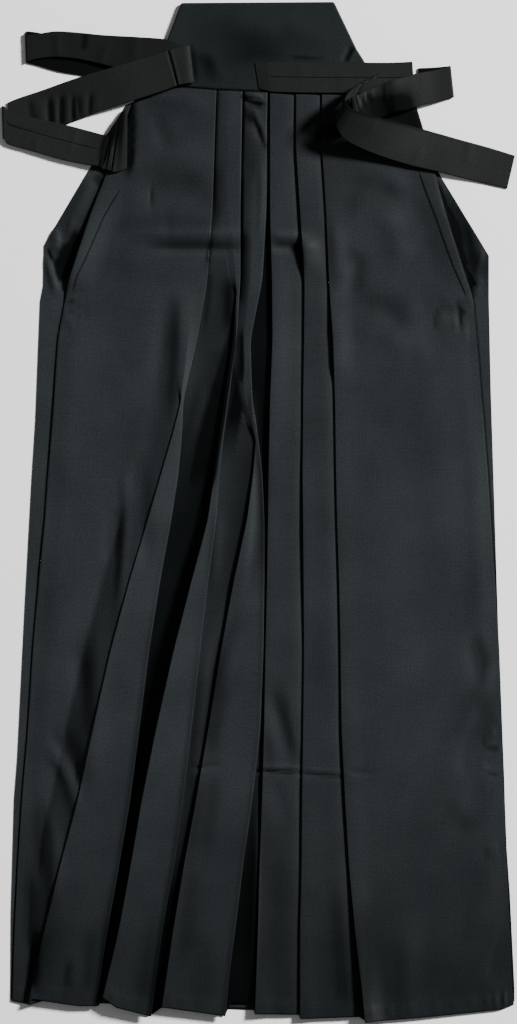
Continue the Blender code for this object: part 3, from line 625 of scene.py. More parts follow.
def openEdge(section, inward, downs, side):
    # the turned and stitched edge of a side opening: a second layer as far as its stitch line, a groove
    # along the line, and a free edge that stands off the back. Below the opening the edge is a seam.
    sewn = (1.0 - ease(downs, side["bottom"] - 6.0, side["bottom"] + 2.0))[:, None]
    begun = ease(downs, side["top"] - 6.0, side["top"] + 6.0)[:, None]
    inset, gape = (readTable(side[key], downs)[:, None] for key in ("inset", "gape"))
    groove = begun * bell(inward - inset, opening["grooveWidth"])
    layer = 1.0 - ease(inward, inset - opening["layerEdge"], inset + opening["layerEdge"])
    section["z"] += sewn * (begun * opening["layer"] * layer - opening["grooveDepth"] * groove)
    section["z"] += gape * (1.0 - ease(inward, 0.0, opening["spread"]))
    section["z"] -= opening["round"] * (1.0 - ease(inward, 0.0, opening["roundWidth"]))
    section["z"] -= (1.0 - sewn) * opening["seamDrop"] * (1.0 - ease(inward, *opening["seamSlope"]))
    # painted shade in the stitch groove and along the edge and the seam below it, where the painted edge
    # tone is taken off
    seam = 1.0 - ease(inward, 0.2, 0.9)
    shade = sewn * opening["grooveShade"] * groove + seam * side["edge"]
    section["deep"] = np.clip(section["deep"] + shade, 0.0, 1.0)
    section["pressed"] = section["pressed"] * (1.0 - seam)
    return section


def rightLegSections(downs):
    # the wearer's right front across: each pleat has a free outer edge and an inner edge. Above the place
    # where it is released the outer edge is flat, and the strip puffs up to its inner edge.
    at = foldLines(rightLeg, downs)
    side, narrowest = at["side"], rightLeg["narrowest"]
    releaseStart, releaseEnd = rightLeg["release"]
    straight = np.full_like(downs, rightLeg["level"])
    path, climbs, rolls, pockets, tilts = startPath(side), [], [], [], []
    before = np.maximum(side + rightLeg["sideFlat"], at["one"] - rightLeg["panelSlope"])
    for name, pleat in rightPleats.items():
        inner, below = at[name], downs - pleat["outer"][0][0]
        released, started = ease(below, releaseStart, releaseEnd), below >= 0.0
        band, rise, tilt = (released * readTable(pleat[key], downs) for key in ("band", "rise", "tilt"))
        closed = pleat["closed"] * (1.0 - released)
        free = np.minimum(smoothColumn(pleat["outer"], 1, downs), inner - narrowest)
        shut = inner - narrowest - np.minimum(-0.1 * np.minimum(below, 0.0), 0.4 * (inner - before))
        outer = np.where(started, free, shut)
        freeTuck = np.minimum(rightLeg["tuck"], 0.42 * (inner - outer) - 2.2)
        shutTuck = np.interp(below, (-150.0, releaseStart), (pleat["depth"], -2.0 * cloth["foldRadius"]))
        tuck = np.where(started, freeTuck, shutTuck)
        shutReach = np.interp(below, (releaseStart, releaseEnd, 0.0), rightLeg["shutReach"])
        reach = np.where(started, -freeTuck, shutReach)
        topStart, topEnd = outer + edgeToCentre, inner - edgeToCentre
        shade = [readTable(pleat["shade"], downs, i) for i in (1, 2)] if "shade" in pleat else None
        near = openColumns(downs, opening["right"]) if name == "one" else None
        first = addPart(path)
        addRun(path, topStart - reach, pleat["before"], shade, near)
        topColumn = addFold(path, topStart - reach, topStart, band, 1, ease(below, -30.0, 10.0))
        addRun(path, topEnd, pleat["top"])
        done = addFold(path, topEnd, topEnd - tuck, band + tilt + closed + rise, -1, np.ones_like(downs))
        onTop = slice(first, done - cloth["arcPoints"])
        tilts.append((onTop, outer[:, None], inner[:, None], tilt[:, None]))
        rolls.append((slice(topColumn, done), inner, readTable(pleat["roll"], downs)))
        if "pocket" in pleat:
            edges = [readTable(pleat["pocket"], downs, i)[:, None] for i in (1, 2, 3)]
            pockets.append((slice(first, done), edges))
        puff = np.maximum((inner - before) / pleat["groove"], rightLeg["level"])
        climbs.append((before, inner, closed, puff))
        foot = np.maximum(before, outer - pleat["climb"])
        climbs.append((foot, np.maximum(outer, foot + 1.0), rise + tilt, straight))
        before = inner
    end = smoothColumn(leftLeg["folds"], 1, downs) + 2.0
    addRun(path, end, rightLeg["bottomPoints"], [readTable(centrePaintedShade, downs)] * 2)
    section = {key: np.hstack(parts) for key, parts in path.items()}
    x, deep = section["x"], section["deep"]
    # painted shade along each band's inner edge, and patches of painted shade in the pockets
    for columns, edge, roll in rolls:
        rolled = roll[:, None] * ease(x[:, columns] - edge[:, None], -8.0, -0.5)
        deep[:, columns] = np.maximum(deep[:, columns], rolled)
    for columns, (left, right, strength) in pockets:
        inside = ease(x[:, columns] - left, -5.0, 5.0) * (1.0 - ease(x[:, columns] - right, -1.2, 1.2))
        deep[:, columns] = np.maximum(deep[:, columns], strength * inside)
    for columns, outer, inner, tilt in tilts:
        section["z"][:, columns] -= tilt * np.clip((x[:, columns] - outer) / (inner - outer), 0.0, 1.0)
    for start, stop, height, bend in climbs:
        section["z"] = section["z"] + climb(x, start, stop, height, bend)
    lift = cloth["lift"] * (1.0 - ease(downs, *cloth["liftFade"]))[:, None]
    section["z"] = section["z"] + cloth["floor"] + lift * ease(x - side[:, None], *cloth["liftOver"])
    return openEdge(section, x - side[:, None], downs, opening["right"])


def leftLegSections(downs):
    # the wearer's left front across: three pleats whose edges face the other leg, then the side panel
    at = foldLines(leftLeg, downs)
    side, edges = at["side"], [at[name] for name in leftPleats]
    tall = np.full_like(downs, leftLeg["closed"])
    path, gapes = startPath(edges[0] + leftLeg["start"]), []
    addRun(path, edges[0] + edgeToCentre + leftPleats["one"]["depth"], 3)
    for i, pleat in enumerate(leftPleats.values()):
        gape, centre = readTable(pleat["gape"], downs), edges[i] + edgeToCentre
        done = addFold(path, centre + pleat["depth"], centre, tall + gape, 1, np.ones_like(downs))
        gapes.append((done, edges[i], gape))
        if "top" in pleat:
            addRun(path, edges[i + 1] + edgeToCentre + leftLeg["under"], pleat["top"])
    addRun(path, side, leftLeg["panelPoints"], far=openColumns(downs, opening["left"])[:, ::-1])
    addRun(path, side, 0, far=np.zeros((len(downs), 1)))
    section = {key: np.hstack(parts) for key, parts in path.items()}
    x, z = section["x"], section["z"]
    for done, edge, gape in gapes:
        z[:, done:] -= gape[:, None] * ease(x[:, done:] - edge[:, None], 1.0, leftLeg["gapeSlope"])
    for start, stop in zip(edges, edges[1:]):
        z -= tall[:, None] - climb(-x, -stop, -start, tall, (stop - start) / 5.0)
    panel = np.minimum(leftLeg["panelSlope"], side - edges[2] - 6.0)[:, None]
    z -= tall[:, None] * ease((x - edges[2][:, None] - 4.0) / panel, 0.0, 1.0)
    z += cloth["floor"] + cloth["lift"] * ease(side[:, None] - x, *cloth["liftOver"])
    return openEdge(section, side[:, None] - x, downs, opening["left"])


def frontLeg(name, section, seed, paintedShadeLevel):
    # the sections joined down the leg, trimmed to the waist line and the hem line, with the soft folds
    x, lastRow, hemTurn = section["x"], cloth["lastRow"], cloth["hemTurn"]
    downs = np.broadcast_to(legRows[:, None], x.shape)
    aboveHem = lastRow - downs
    top = readTable(waistLine, x) * (1.0 - ease(downs, 0.0, cloth["waistFade"]))
    trim = (readTable(hemLine, x) - lastRow) * ease(downs, lastRow - cloth["hemEase"], lastRow)
    z = section["z"] + softRelief(x, downs, frontFolds)
    z = z + unevenness(x, downs, seed, cloth["waveLength"], cloth["waveHeight"])
    z = z + cloth["hemLayer"] * (1.0 - ease(aboveHem, hemTurn - 2.0, hemTurn + 5.0))
    alongHem = bell(aboveHem - cloth["puckerUp"], cloth["puckerLength"])
    for across, height in hemPuckers:
        z = z + height * bell(x - across, cloth["puckerWidth"]) * alongHem
    z = np.maximum(z, cloth["lowest"])
    z = z + (cloth["waistZ"] - z) * (1.0 - ease(downs, *cloth["waistTurn"]))
    points = np.stack([x, page["waistY"] - downs - top - trim, z], axis=-1)
    # painted shade: the hollows and the cast shadow beside the looped tie, the waist edge, darker under the
    # waist and towards the hem, and an even share over the whole leg
    paintedShadePatches = np.clip(softRelief(x, downs, frontPaintedShade), 0.0, 1.0)
    paintedShadePatches = paintedShadePatches + 1.0 - ease(downs, *cloth["waistShade"]) + readTable(paintedShadeDown, downs) + paintedShadeLevel
    marks = {"pressed": section["pressed"], "deep": section["deep"] + paintedShadePatches}
    piece = gridMesh(name, points, downs, hakamaCloth, marks, wall=cloth["wall"])
    u = arcLength(points, 1)
    area = float((np.diff(u, axis=1)[1:] * np.diff(downs, axis=0)[:, 1:]).sum()) / page["perMetre"]**2
    print(f"{name}: {u[0, -1]:.0f} mm wide at the waist, {u[-1, -1]:.0f} at the hem, {area:.4f} m2")
    return piece, points


rightFront, rightGrid = frontLeg("rightFrontPanel", rightLegSections(legRows), 11, 0.0)
leftFront, leftGrid = frontLeg("leftFrontPanel", leftLegSections(legRows), 12, 0.1)
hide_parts("front_leg_right")
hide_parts("front_leg_left")
print("fronts made")

# the flat backs, each outline from the waist down to the hem
backs = {
    "seam": 3.0, "seamGap": 0.3, "wall": 0.6, "hemAtSeam": 921.0,
    "columns": 81, "crowding": 1.8, "rowStep": 9.0, "openRows": (90.0, 212.0, 3.0),
    "openFrom": (20.0, 90.0), "openTo": (200.0, 240.0), "seamShade": 0.9, "seamOut": 0.6,
    "right": ((-90, -3.5), (-132.4, 15), (-151.9, 45.5), (-168.4, 78), (-214.5, 155.6), (-215.4, 196),
              (-218.4, 211.5), (-223, 330), (-226.8, 390), (-233.5, 514), (-241.2, 669), (-244.4, 710),
              (-247.6, 826), (-248, 910)),
    "left": ((112, 1), (154.6, 35), (181.6, 85), (230.6, 166), (230.6, 210), (232.6, 302), (240.6, 560),
             (246, 688), (247.6, 747), (251.6, 804), (256.2, 898), (256.2, 912)),
    "folds": (
        (-166, 84, -190, 130, 6, 8, 0.9, 2), (-205, 138, -203, 164, 7, 4, 1.7, 2),
        (-212, 168, -202, 204, 4, 4, 1.4), (-186, 128, -192, 148, 3, 4, 0.7),
        (192, 96, 206, 126, 6, 7, 1, -2), (208, 128, 218, 178, 5, 9, 1.5, 3),
        (224, 158, 216, 190, 3, 4, 0.9), (222, 188, 216, 206, 4, 4, 1),
    ),
    # patches of painted shade in the side openings
    "paintedShadePatches": (
        (-176, 84, -206, 150, 18, 18, 0.42), (200, 90, 222, 205, 24, 24, 0.78),
        (-158, 84, -166, 92, 4, 12, 0.6), (-150, 78, -176, 140, 5, 4, 0.8, 2),
        (-194, 152, -196, 190, 6, 14, 1.5), (-204, 168, -197, 192, 3, 8, 1.3),
        (-182, 138, -190, 172, 5, 14, 1.1), (-211, 158, -206, 171, 1.5, 1.8, 1.2),
        (178, 88, 190, 124, 1.8, 2.4, 1.1), (193, 128, 200, 158, 4, 4, 1.5, 1),
        (190, 118, 196, 138, 3, 2.4, 1.1), (200, 154, 207, 176, 3, 2.4, 1.2),
        (205, 176, 213, 188, 1.6, 1.6, 1.4), (211, 187, 213, 204, 1.8, 2, 1.8),
        (210, 185, 218, 195, 4, 1.2, 1.8),
    ),
}


def backLeg(name, outline, direction, side):
    # rows run from the outline to the centre seam, one for each step down
    edge = np.array(outline, float)
    downs = np.unique(np.concatenate([edge[:, 1], np.arange(edge[0, 1], edge[-1, 1], backs["rowStep"]),
                                      np.arange(*backs["openRows"])]))
    outerX = np.interp(downs, edge[:, 1], edge[:, 0])[:, None]
    share = np.linspace(0.0, 1.0, backs["columns"]) ** backs["crowding"]
    if direction > 0:
        share = share[::-1]
    seam = backs["seam"] + direction * backs["seamGap"] / 2
    seamDown = np.interp(downs, (downs[0], downs[-1]), (-1.0, backs["hemAtSeam"]))
    x = outerX + (seam - outerX) * share
    down = downs[:, None] + (seamDown - downs)[:, None] * share
    openPart = ease(down, *backs["openFrom"]) * (1.0 - ease(down, *backs["openTo"]))
    z = backs["wall"] / 2 + np.maximum(0.0, softRelief(x, down, backs["folds"])) * openPart
    points = np.stack([x, page["waistY"] - down, z], axis=-1)
    # painted shade in the side openings, and a painted dark line beside the side seam below them
    paintedShadePatches = np.clip(softRelief(x, down, backs["paintedShadePatches"]), 0.0, 1.0) * openPart
    outside = (x - foldLines(side, down)["side"]) * direction - backs["seamOut"]
    paintedShadePatches = paintedShadePatches + backs["seamShade"] * ease(down, 196.0, 206.0) * bell(outside, 0.9)
    piece = gridMesh(name, points, arcLength(points, 0), hakamaCloth,
                     {"pressed": np.zeros(x.shape), "deep": paintedShadePatches}, wall=backs["wall"])
    return piece


rightBack = backLeg("rightBackPanel", backs["right"], -1, rightLeg)
leftBack = backLeg("leftBackPanel", backs["left"], 1, leftLeg)
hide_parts("back_leg_right")
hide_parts("back_leg_left")
print("backs made")

# the stiffened board at the back of the waist, its side edges given as (down, across)
board = {
    "thick": 4.0, "corner": 1.6, "seam": 0.4, "roundedShare": 0.018, "thinnest": 0.04,
    "acrossPoints": 90, "capPoints": 5, "rows": 64,
    "left": ((-87, -77.4), (-63, -86.4), (-50, -91.4), (-3.8, -90)),
    "right": ((-88, 75.6), (-40, 98.6), (-28, 106.6), (-1.3, 111)),
    "folds": (
        (-40, -66, 20, -60, 14, 12, 0.5), (-44, -44, 66, -36, 9, 12, -0.6, 5),
        (10, -30, 74, -24, 8, 8, 0.4), (92, -44, 84, -28, 2, 2.6, -1.2), (96, -42, 88, -27, 2.4, 2, 0.6),
        (-60, -40, -34, -8, 9, 9, 0.5),
    ),
    # painted dark reflection blotches, painted shade in a crease, and a painted shadow beside the short
    # tie's end
    "paintedShadePatches": (
        (-40, -52, 44, -50, 16, 13, 0.3, -4), (-30, -34, 64, -30, 9, 9, 0.34, 3),
        (-52, -38, -44, -10, 7, 5, 0.4), (20, -66, 62, -40, 12, 9, 0.2),
        (-70, -30, 30, -34, 44, 44, 0.24), (98, -46, 88, -28, 1.3, 1.7, 1.8),
        (30, -33, 68, -31, 3, 2, 0.5), (-67, -46, -62, -6, 2.4, 2.6, 0.8),
        (-62, -34, -44, -22, 6, 7, 0.24),
    ),
}


def ringProfile(runPoints, capPoints, closer=()):
    # a ring round a flat band from its first edge: over the top, round the far edge, back below and round
    # the first edge. share runs across between the edges' centres, and out and up are parts of the radius.
    run = 0.5 - 0.5 * np.cos(np.linspace(0.0, math.pi, runPoints))
    if closer:
        near = np.mean(closer)
        run = np.sort(np.concatenate([run[np.abs(run - near) > 0.05], near + np.arange(-4, 5) * 0.011]))
    turn = np.linspace(math.pi / 2, -math.pi / 2, capPoints + 2)[1:-1]
    flat, level = np.zeros(len(run)), np.ones(len(run))
    share = np.concatenate([run, np.ones(capPoints), run[::-1], np.zeros(capPoints)])
    out = np.concatenate([flat, np.cos(turn), flat, -np.cos(turn)])
    up = np.concatenate([level, np.sin(turn), -level, -np.sin(turn)])
    return share, out, up


def backBoard():
    # rings from the top down to the waist seam, thinner at both ends as the edges are round
    share, out, up = ringProfile(board["acrossPoints"], board["capPoints"])
    v = np.concatenate([[0.0, 0.004, 0.012], np.linspace(0.03, 0.97, board["rows"]), [0.988, 0.996, 1.0]])
    toEnd, half = np.minimum(v, 1.0 - v), board["thick"] / 2
    left, right = np.array(board["left"], float), np.array(board["right"], float)
    leftDown, rightDown = (table[0, 0] + (table[-1, 0] - table[0, 0]) * v for table in (left, right))
    past = np.maximum(0.0, 1.0 - toEnd / board["roundedShare"])
    radius = half * np.sqrt(np.clip(1.0 - past**2, board["thinnest"], 1.0))[:, None]
    inner0 = np.interp(leftDown, left[:, 0], left[:, 1])[:, None] + board["corner"]
    inner1 = np.interp(rightDown, right[:, 0], right[:, 1])[:, None] - board["corner"]
    x = inner0 + (inner1 - inner0) * share + out * board["corner"] * radius / half
    down = leftDown[:, None] + (rightDown - leftDown)[:, None] * share
    toSeam = readTable(waistLine, x[-1:]) - board["seam"] - down[-1:]
    down = down + toSeam * ease(v, 0.6, 1.0)[:, None]
    z = half + up * radius
    z = z + (up > 0.5) * softRelief(x, down, board["folds"]) * ease(v, 0.0, 0.06)[:, None]
    points = np.stack([x, page["waistY"] - down, z], axis=-1)
    # painted dark outline round the board's edges and ends
    edge = np.broadcast_to(np.abs(out), x.shape) + (1.0 - ease(toEnd, 0.0, 0.02))[:, None]
    marks = {"pressed": edge, "deep": softRelief(x, down, board["paintedShadePatches"])}
    piece = gridMesh("koshiitaBoard", points, -points[..., 1], boardCloth, marks, closed=True)
    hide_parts("koshiita")


backBoard()
print("board made")

# the ties, in one layer of thick folded cloth each: on the panels, over a layer, on the board and over it
# sewnShade, edgeShade and foldShade are painted shade in the stitch groove, along the edges, in crease
# troughs and on the hidden part
tieLayer = {
    "thick": 1.6, "width": 33.0, "gap": 0.3, "acrossPoints": 19, "capPoints": 4, "underSteps": 8,
    "turnPoints": 7, "turnAngle": 72.0, "sewnWidth": 0.013, "sewnDepth": 0.3, "sewnShade": 0.75,
    "sewnFade": 6.0, "edgeShade": 0.8, "foldShade": 0.9,
}
low = tieLayer["thick"] / 2
second = tieLayer["thick"] * 1.5 + tieLayer["gap"]
overBoard = board["thick"] + tieLayer["gap"] + low
overTie = overBoard + tieLayer["thick"] + tieLayer["gap"]
# rows: one edge of the band and the other at each place along it, each across and down, then the height of
# the band, and of its other edge where that differs. under: rows of the layer below its fold. fold: the
# side to which that fold points. steps: rings between two rows. creases: (along, from, to, halfWidth,
# height, lean). Patches of painted shade: (along, across, length, breadth, share). stitch: a sewn groove,
# its place across at both ends, its start and its end, painted darker. A share of painted shade over the
# whole tie. hiddenTo: the end of its hidden part, which is painted dark too.
ties = {
    "upperRightTie": {
        "node": "tie_right_upper", "steps": 10, "fold": -1, "paintedShadeLevel": 0.52, "hiddenTo": 92.0,
        "under": (
            (-138, -44, -146, -11, low), (-190, -50, -194, -17, low), (-218, -57, -222, -24.5, low),
            (-232, -59, -231, -26.5, low),
        ),
        "rows": (
            (-232, -54.5, -231, -28, second), (-218, -56.5, -220, -31, second),
            (-202, -58.6, -204, -32.5, second), (-178, -57, -181, -30.6, second + 0.6),
            (-154, -54.6, -158, -25.5, overBoard - 1.5), (-120, -52.5, -128, -18, overBoard - 0.3),
            (-92, -50, -98, -13, overBoard), (-76, -43, -79, -10, overBoard),
        ),
        "creases": ((126, 0.1, 1, 4, 0.5, 4), (152, 0, 0.6, 3, -0.5, 0), (174, 0.3, 1, 4, 0.6, -6),
                    (204, 0, 1, 5, 0.5, 6)),
    },
    "crossingRightTie": {
        "node": "tie_right_crossing", "steps": 22, "paintedShadeLevel": 0.18,
        "rows": (
            (-69, -44.4, -64.6, -6.6, overTie - 1.2), (-73, -43.7, -69.6, -5.6, overTie - 0.1),
            (-80, -42.5, -79, -4, overTie), (-104, -34.5, -100, 3.5, overTie),
            (-138, -24.5, -132.4, 13.8, overTie - 0.3), (-181, -12, -166, 24.5, 3.6),
            (-216, 0, -196, 35.5, 1), (-240, 8, -226, 43, low), (-251, 12.5, -249.5, 46, low),
        ),
        "creases": ((19.4, 0, 1, 0.75, -1.3, -8), (17, 0, 1, 1.3, 0.3, -8), (96, 0.6, 1, 3, 0.2, 18),
                    (105, 0.55, 1, 2.4, -0.9, 19), (112, 0.5, 1, 2, 0.2, 19),
                    (118, 0.5, 0.9, 1.8, -0.8, 17), (124, 0.45, 1, 2.4, -1.1, 20),
                    (130, 0.4, 1, 2.2, 0.25, 20), (137, 0.35, 1, 2.6, -1.2, 21),
                    (143, 0.35, 1, 2, 0.3, 19), (149, 0.3, 1, 2.8, -1.2, 18), (158, 0.3, 0.9, 3, 0.3, 15),
                    (168, 0.2, 0.9, 4, -0.6, 10)),
    },
    "lowerRightTie": {
        "node": "tie_right_lower", "steps": 18, "fold": -1, "stitch": (0.42, 0.5, 3.0, 104.0),
        "under": ((-255.2, 16, -254.2, 49, low),),
        "rows": (
            (-255.2, 16, -254.2, 49, second), (-246, 22.5, -250, 54.5, second),
            (-220, 29, -228, 61, second + 0.4, second),
            (-194, 34.8, -202, 68.6, second + 1, second + 0.4),
            (-172, 40.5, -178, 74, second + 1.2, second + 0.8), (-153.4, 45.5, -159.6, 77, 4.8, 4.6),
            (-151.2, 44, -157, 79, 3, 2.8), (-146.5, 37, -151, 80.5, 3.4, 3),
            (-141.2, 30, -146.5, 82.5, 3.8, 4.9), (-137, 24.5, -141.6, 82.5, 4, 4.6),
            (-133.6, 20, -136, 81, 4.1, 3.8), (-131, 17.8, -131.6, 79, 4, 3.4),
        ),
        "creases": ((40, 0.6, 1, 3, 0.3, 4), (76, 0, 0.7, 4, 0.3, -4), (108.5, 0, 1, 1.2, -1, -5),
                    (113, 0.2, 1, 1.1, -1, -8), (118.5, 0.45, 1, 1.8, 0.8, -5),
                    (122.5, 0.1, 1, 1, -0.9, -3)),
        "paintedShadePatches": ((108, 0.45, 4, 0.6, 1.4), (121, 0.05, 9, 0.36, 1.6), (129, 0.5, 4.5, 0.8, 0.8)),
    },
    "waistTie": {
        "node": "tie_waist", "steps": 12, "paintedShadeLevel": 0.18, "stitch": (0.5, 0.5, 10.0, 160.0),
        "rows": (
            (-3.4, -27, 0.6, -0.6, overBoard - 1.3), (4, -27.6, 7, 1.2, overBoard - 0.6),
            (16, -28, 18, 2.9, overBoard), (60, -27.5, 60, 3.7, overBoard),
            (105, -27, 106, 3.8, overBoard), (132, -27, 134, 3.6, overBoard - 0.6),
            (153.8, -28, 156, 3.2, overBoard - 0.9),
        ),
        "creases": ((44, 0, 0.5, 4, 0.3, 0), (86, 0.4, 1, 5, 0.3, 3)),
    },
    "shortLeftTie": {
        "node": "tie_left_short", "steps": 18, "fold": 1, "paintedShadeLevel": 0.22, "hiddenTo": 30.0,
        "under": (
            (160, -22, 160, 10, low), (175, -22.6, 178, 10, low), (190.6, -24, 194, 7.6, low),
        ),
        "rows": (
            (190.6, -24, 194, 7.6, second), (176, -19.6, 178, 12.4, second + 0.8),
            (160, -16.4, 162, 16, 6.6, 6), (146, -12.2, 151, 20, 9.6, 8), (133, -8.4, 138, 23, 12.4, 9),
            (120, -3.4, 126, 27, 11, 6), (107, 2.6, 112, 32, 14, 9), (98, 7.4, 101, 36, 22, 20),
            (92.5, 10.6, 94, 36, 28, 27),
        ),
        "creases": ((104, 0.1, 0.6, 2.4, 0.4, 6), (116, 0, 0.4, 2, 0.5, -3),
                    (121, 0.1, 0.5, 2.4, -0.8, -4), (124.5, 0, 0.4, 1.8, 0.6, -6),
                    (130, 0, 0.4, 1.4, -1.2, -9), (134, 0, 1, 1.5, 0.9, 4), (138, 0, 1, 1.1, -1.2, -6)),
        "paintedShadePatches": ((101, 1, 19, 0.5, 1.9), (119, 0.8, 13, 0.42, 2.2), (84, 0.85, 9, 0.4, 0.5),
                    (128, 0.95, 9, 0.4, 1.6), (130, 0.3, 1.8, 0.5, 0.7), (146, 0.4, 5, 0.7, 0.9)),
    },
    "loopedLeftTie": {
        "node": "tie_left_loop", "steps": 22,
        "rows": (
            (119.6, -15, 109.6, -6, 7.4, 6.9), (103, -6, 95, 8, 15, 13), (90, 5, 82, 21, 26, 21),
            (86.1, 14, 77.4, 32, 32, 25), (92, 22.6, 79, 43, 33, 23), (108, 27.4, 88, 53, 29, 18),
            (134, 33, 113, 64, 18, 11), (168.6, 41, 148, 75, 6.6, 5.6), (202, 50, 187, 84, 3.2, 3.6),
            (232, 58, 222, 92.6, 1.2, 1), (256.6, 65.6, 248.8, 98.6, low),
        ),
        "creases": ((4, 0, 1, 1.5, 1.5, 3), (8.5, 0, 1, 1.3, -1.4, 3), (13, 0, 1, 1.6, 1.4, -4),
                    (18, 0, 1, 1.2, -1.3, -4), (23, 0, 0.7, 1.6, 1, 3), (28, 0, 0.6, 1.2, -1, 2),
                    (34, 0, 0.5, 1.6, 0.6, 2), (92, 0, 0.5, 4, 0.4, 4), (150, 0.5, 1, 5, 0.4, 0),
                    (196, 0, 0.6, 5, 0.4, 5)),
        "paintedShadePatches": ((90, 0, 60, 0.05, 0.9),),
    },
}


def throughRows(table, steps):
    # a Catmull-Rom run through the rows of a table, with a number of steps between each two rows
    ends = np.array([(*row[:2], row[4], *row[2:4], row[-1]) for row in table], float)
    rows = np.vstack([2 * ends[0] - ends[1:2], ends, 2 * ends[-1] - ends[-2:-1]])
    share = np.linspace(0.0, 1.0, steps, endpoint=False)[:, None]
    spans = []
    for before, start, stop, after in zip(rows, rows[1:], rows[2:], rows[3:]):
        leave, arrive = (stop - before) / 2, (after - start) / 2
        spans.append((2 * share**3 - 3 * share**2 + 1) * start + (share**3 - 2 * share**2 + share) * leave
                     + (3 * share**2 - 2 * share**3) * stop + (share**3 - share**2) * arrive)
    return np.vstack(spans + [ends[-1:]])


def turnOver(under, over, outward):
    # the rows of a tie half round a fold, from the layer below to the layer above
    angle = math.radians(tieLayer["turnAngle"])
    angles = np.linspace(-angle, angle, tieLayer["turnPoints"])[:, None]
    rows = np.repeat((under + over)[None, :] / 2, len(angles), axis=0)
    radius = (over[2] - under[2]) / 2
    rows[:, [0, 3]] += outward * radius * np.cos(angles)
    rows[:, [2, 5]] += radius * np.sin(angles)
    return rows


def tieBand(name, tie):
    # a flat ring carried along the rows, each crease a bell along the tie that leans across it
    rows, stitch = throughRows(tie["rows"], tie["steps"]), tie.get("stitch", ())
    if "under" in tie:
        under = throughRows(tie["under"], tieLayer["underSteps"])
        rows = np.vstack([under, turnOver(under[-1], rows[0], tie["fold"]), rows])
    share, out, up = ringProfile(tieLayer["acrossPoints"], tieLayer["capPoints"], stitch[:2])
    first, other = rows[:, None, :3].copy(), rows[:, None, 3:].copy()
    for side in (first, other):
        side[..., 1] = page["waistY"] - side[..., 1]
        side[..., 2] = np.maximum(side[..., 2], low)
    across = other - first
    width = np.linalg.norm(across, axis=-1, keepdims=True)
    across = across / width
    middle = (first + other)[:, 0] / 2
    normal = np.cross(across, np.gradient(middle, axis=0)[:, None])
    normal /= np.linalg.norm(normal, axis=-1, keepdims=True)
    travelled = arcLength(middle[:, None], 0)
    bump = np.zeros((len(rows), len(share)))
    # painted shade over the whole tie, and a painted dark outline along its edges
    dark = tie.get("paintedShadeLevel", 0.0) + tieLayer["edgeShade"] * np.abs(out)
    if stitch:
        left, right, start, stop = stitch
        window = ease(travelled, start, start + tieLayer["sewnFade"])
        window = window * (1.0 - ease(travelled, stop - tieLayer["sewnFade"], stop))
        sewn = left + (right - left) * travelled / travelled[-1]
        groove = window * bell(share - sewn, tieLayer["sewnWidth"])
        bump = bump - tieLayer["sewnDepth"] * groove
        dark = dark + tieLayer["sewnShade"] * groove
    for place, start, stop, halfWidth, height, lean in tie.get("creases", ()):
        window = ease(share, start - 0.15, start + 0.12) * (1.0 - ease(share, stop - 0.12, stop + 0.15))
        bump += height * window * bell(travelled - place - lean * (share - 0.5), halfWidth)
    for place, middleShare, length, breadth, strength in tie.get("paintedShadePatches", ()):
        dark = dark + strength * bell(travelled - place, length) * bell(share - middleShare, breadth)
    hiddenTo = tie.get("hiddenTo", 0.0)
    hidden = 1.0 - ease(travelled, hiddenTo - 3.0, hiddenTo + 0.5)
    # painted shade in crease troughs and on the hidden part
    dark = dark + tieLayer["foldShade"] * (np.clip(-bump, 0.0, 1.0) + hidden)
    facing = np.where(normal[..., 2] < 0.0, -1.0, 1.0)
    points = (first + across * (low + share[:, None] * (width - 2 * low) + low * out[:, None])
              + normal * low * up[:, None] + normal * (facing * bump)[..., None])
    points[..., 2] = np.maximum(points[..., 2], 0.0)
    marks = {"pressed": np.broadcast_to(np.abs(out), bump.shape), "deep": dark}
    piece = gridMesh(name, points, np.broadcast_to(travelled, bump.shape), tieCloth, marks,
                     closed=True, flip=True)
    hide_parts(tie["node"])
    length = round(float(travelled[-1, 0]) / page["perMetre"], 3)
    print(f"{name}: {length} m")


for tieName, tie in ties.items():
    tieBand(tieName, tie)
print("ties made")

# the sewing: where each opening is stitched, and the girth and height of a stitch along it
sewing = {
    "right": (101.0, 203.0), "left": (88.0, 207.0), "columns": 60,
    "stitch": 2.4, "pitch": 3.4, "radius": 0.22, "sides": 6,
    "girth": (0.3, 0.9, 1.0, 0.9, 0.3), "rise": (-0.6, 0.5, 0.8, 0.5, -0.6),
}


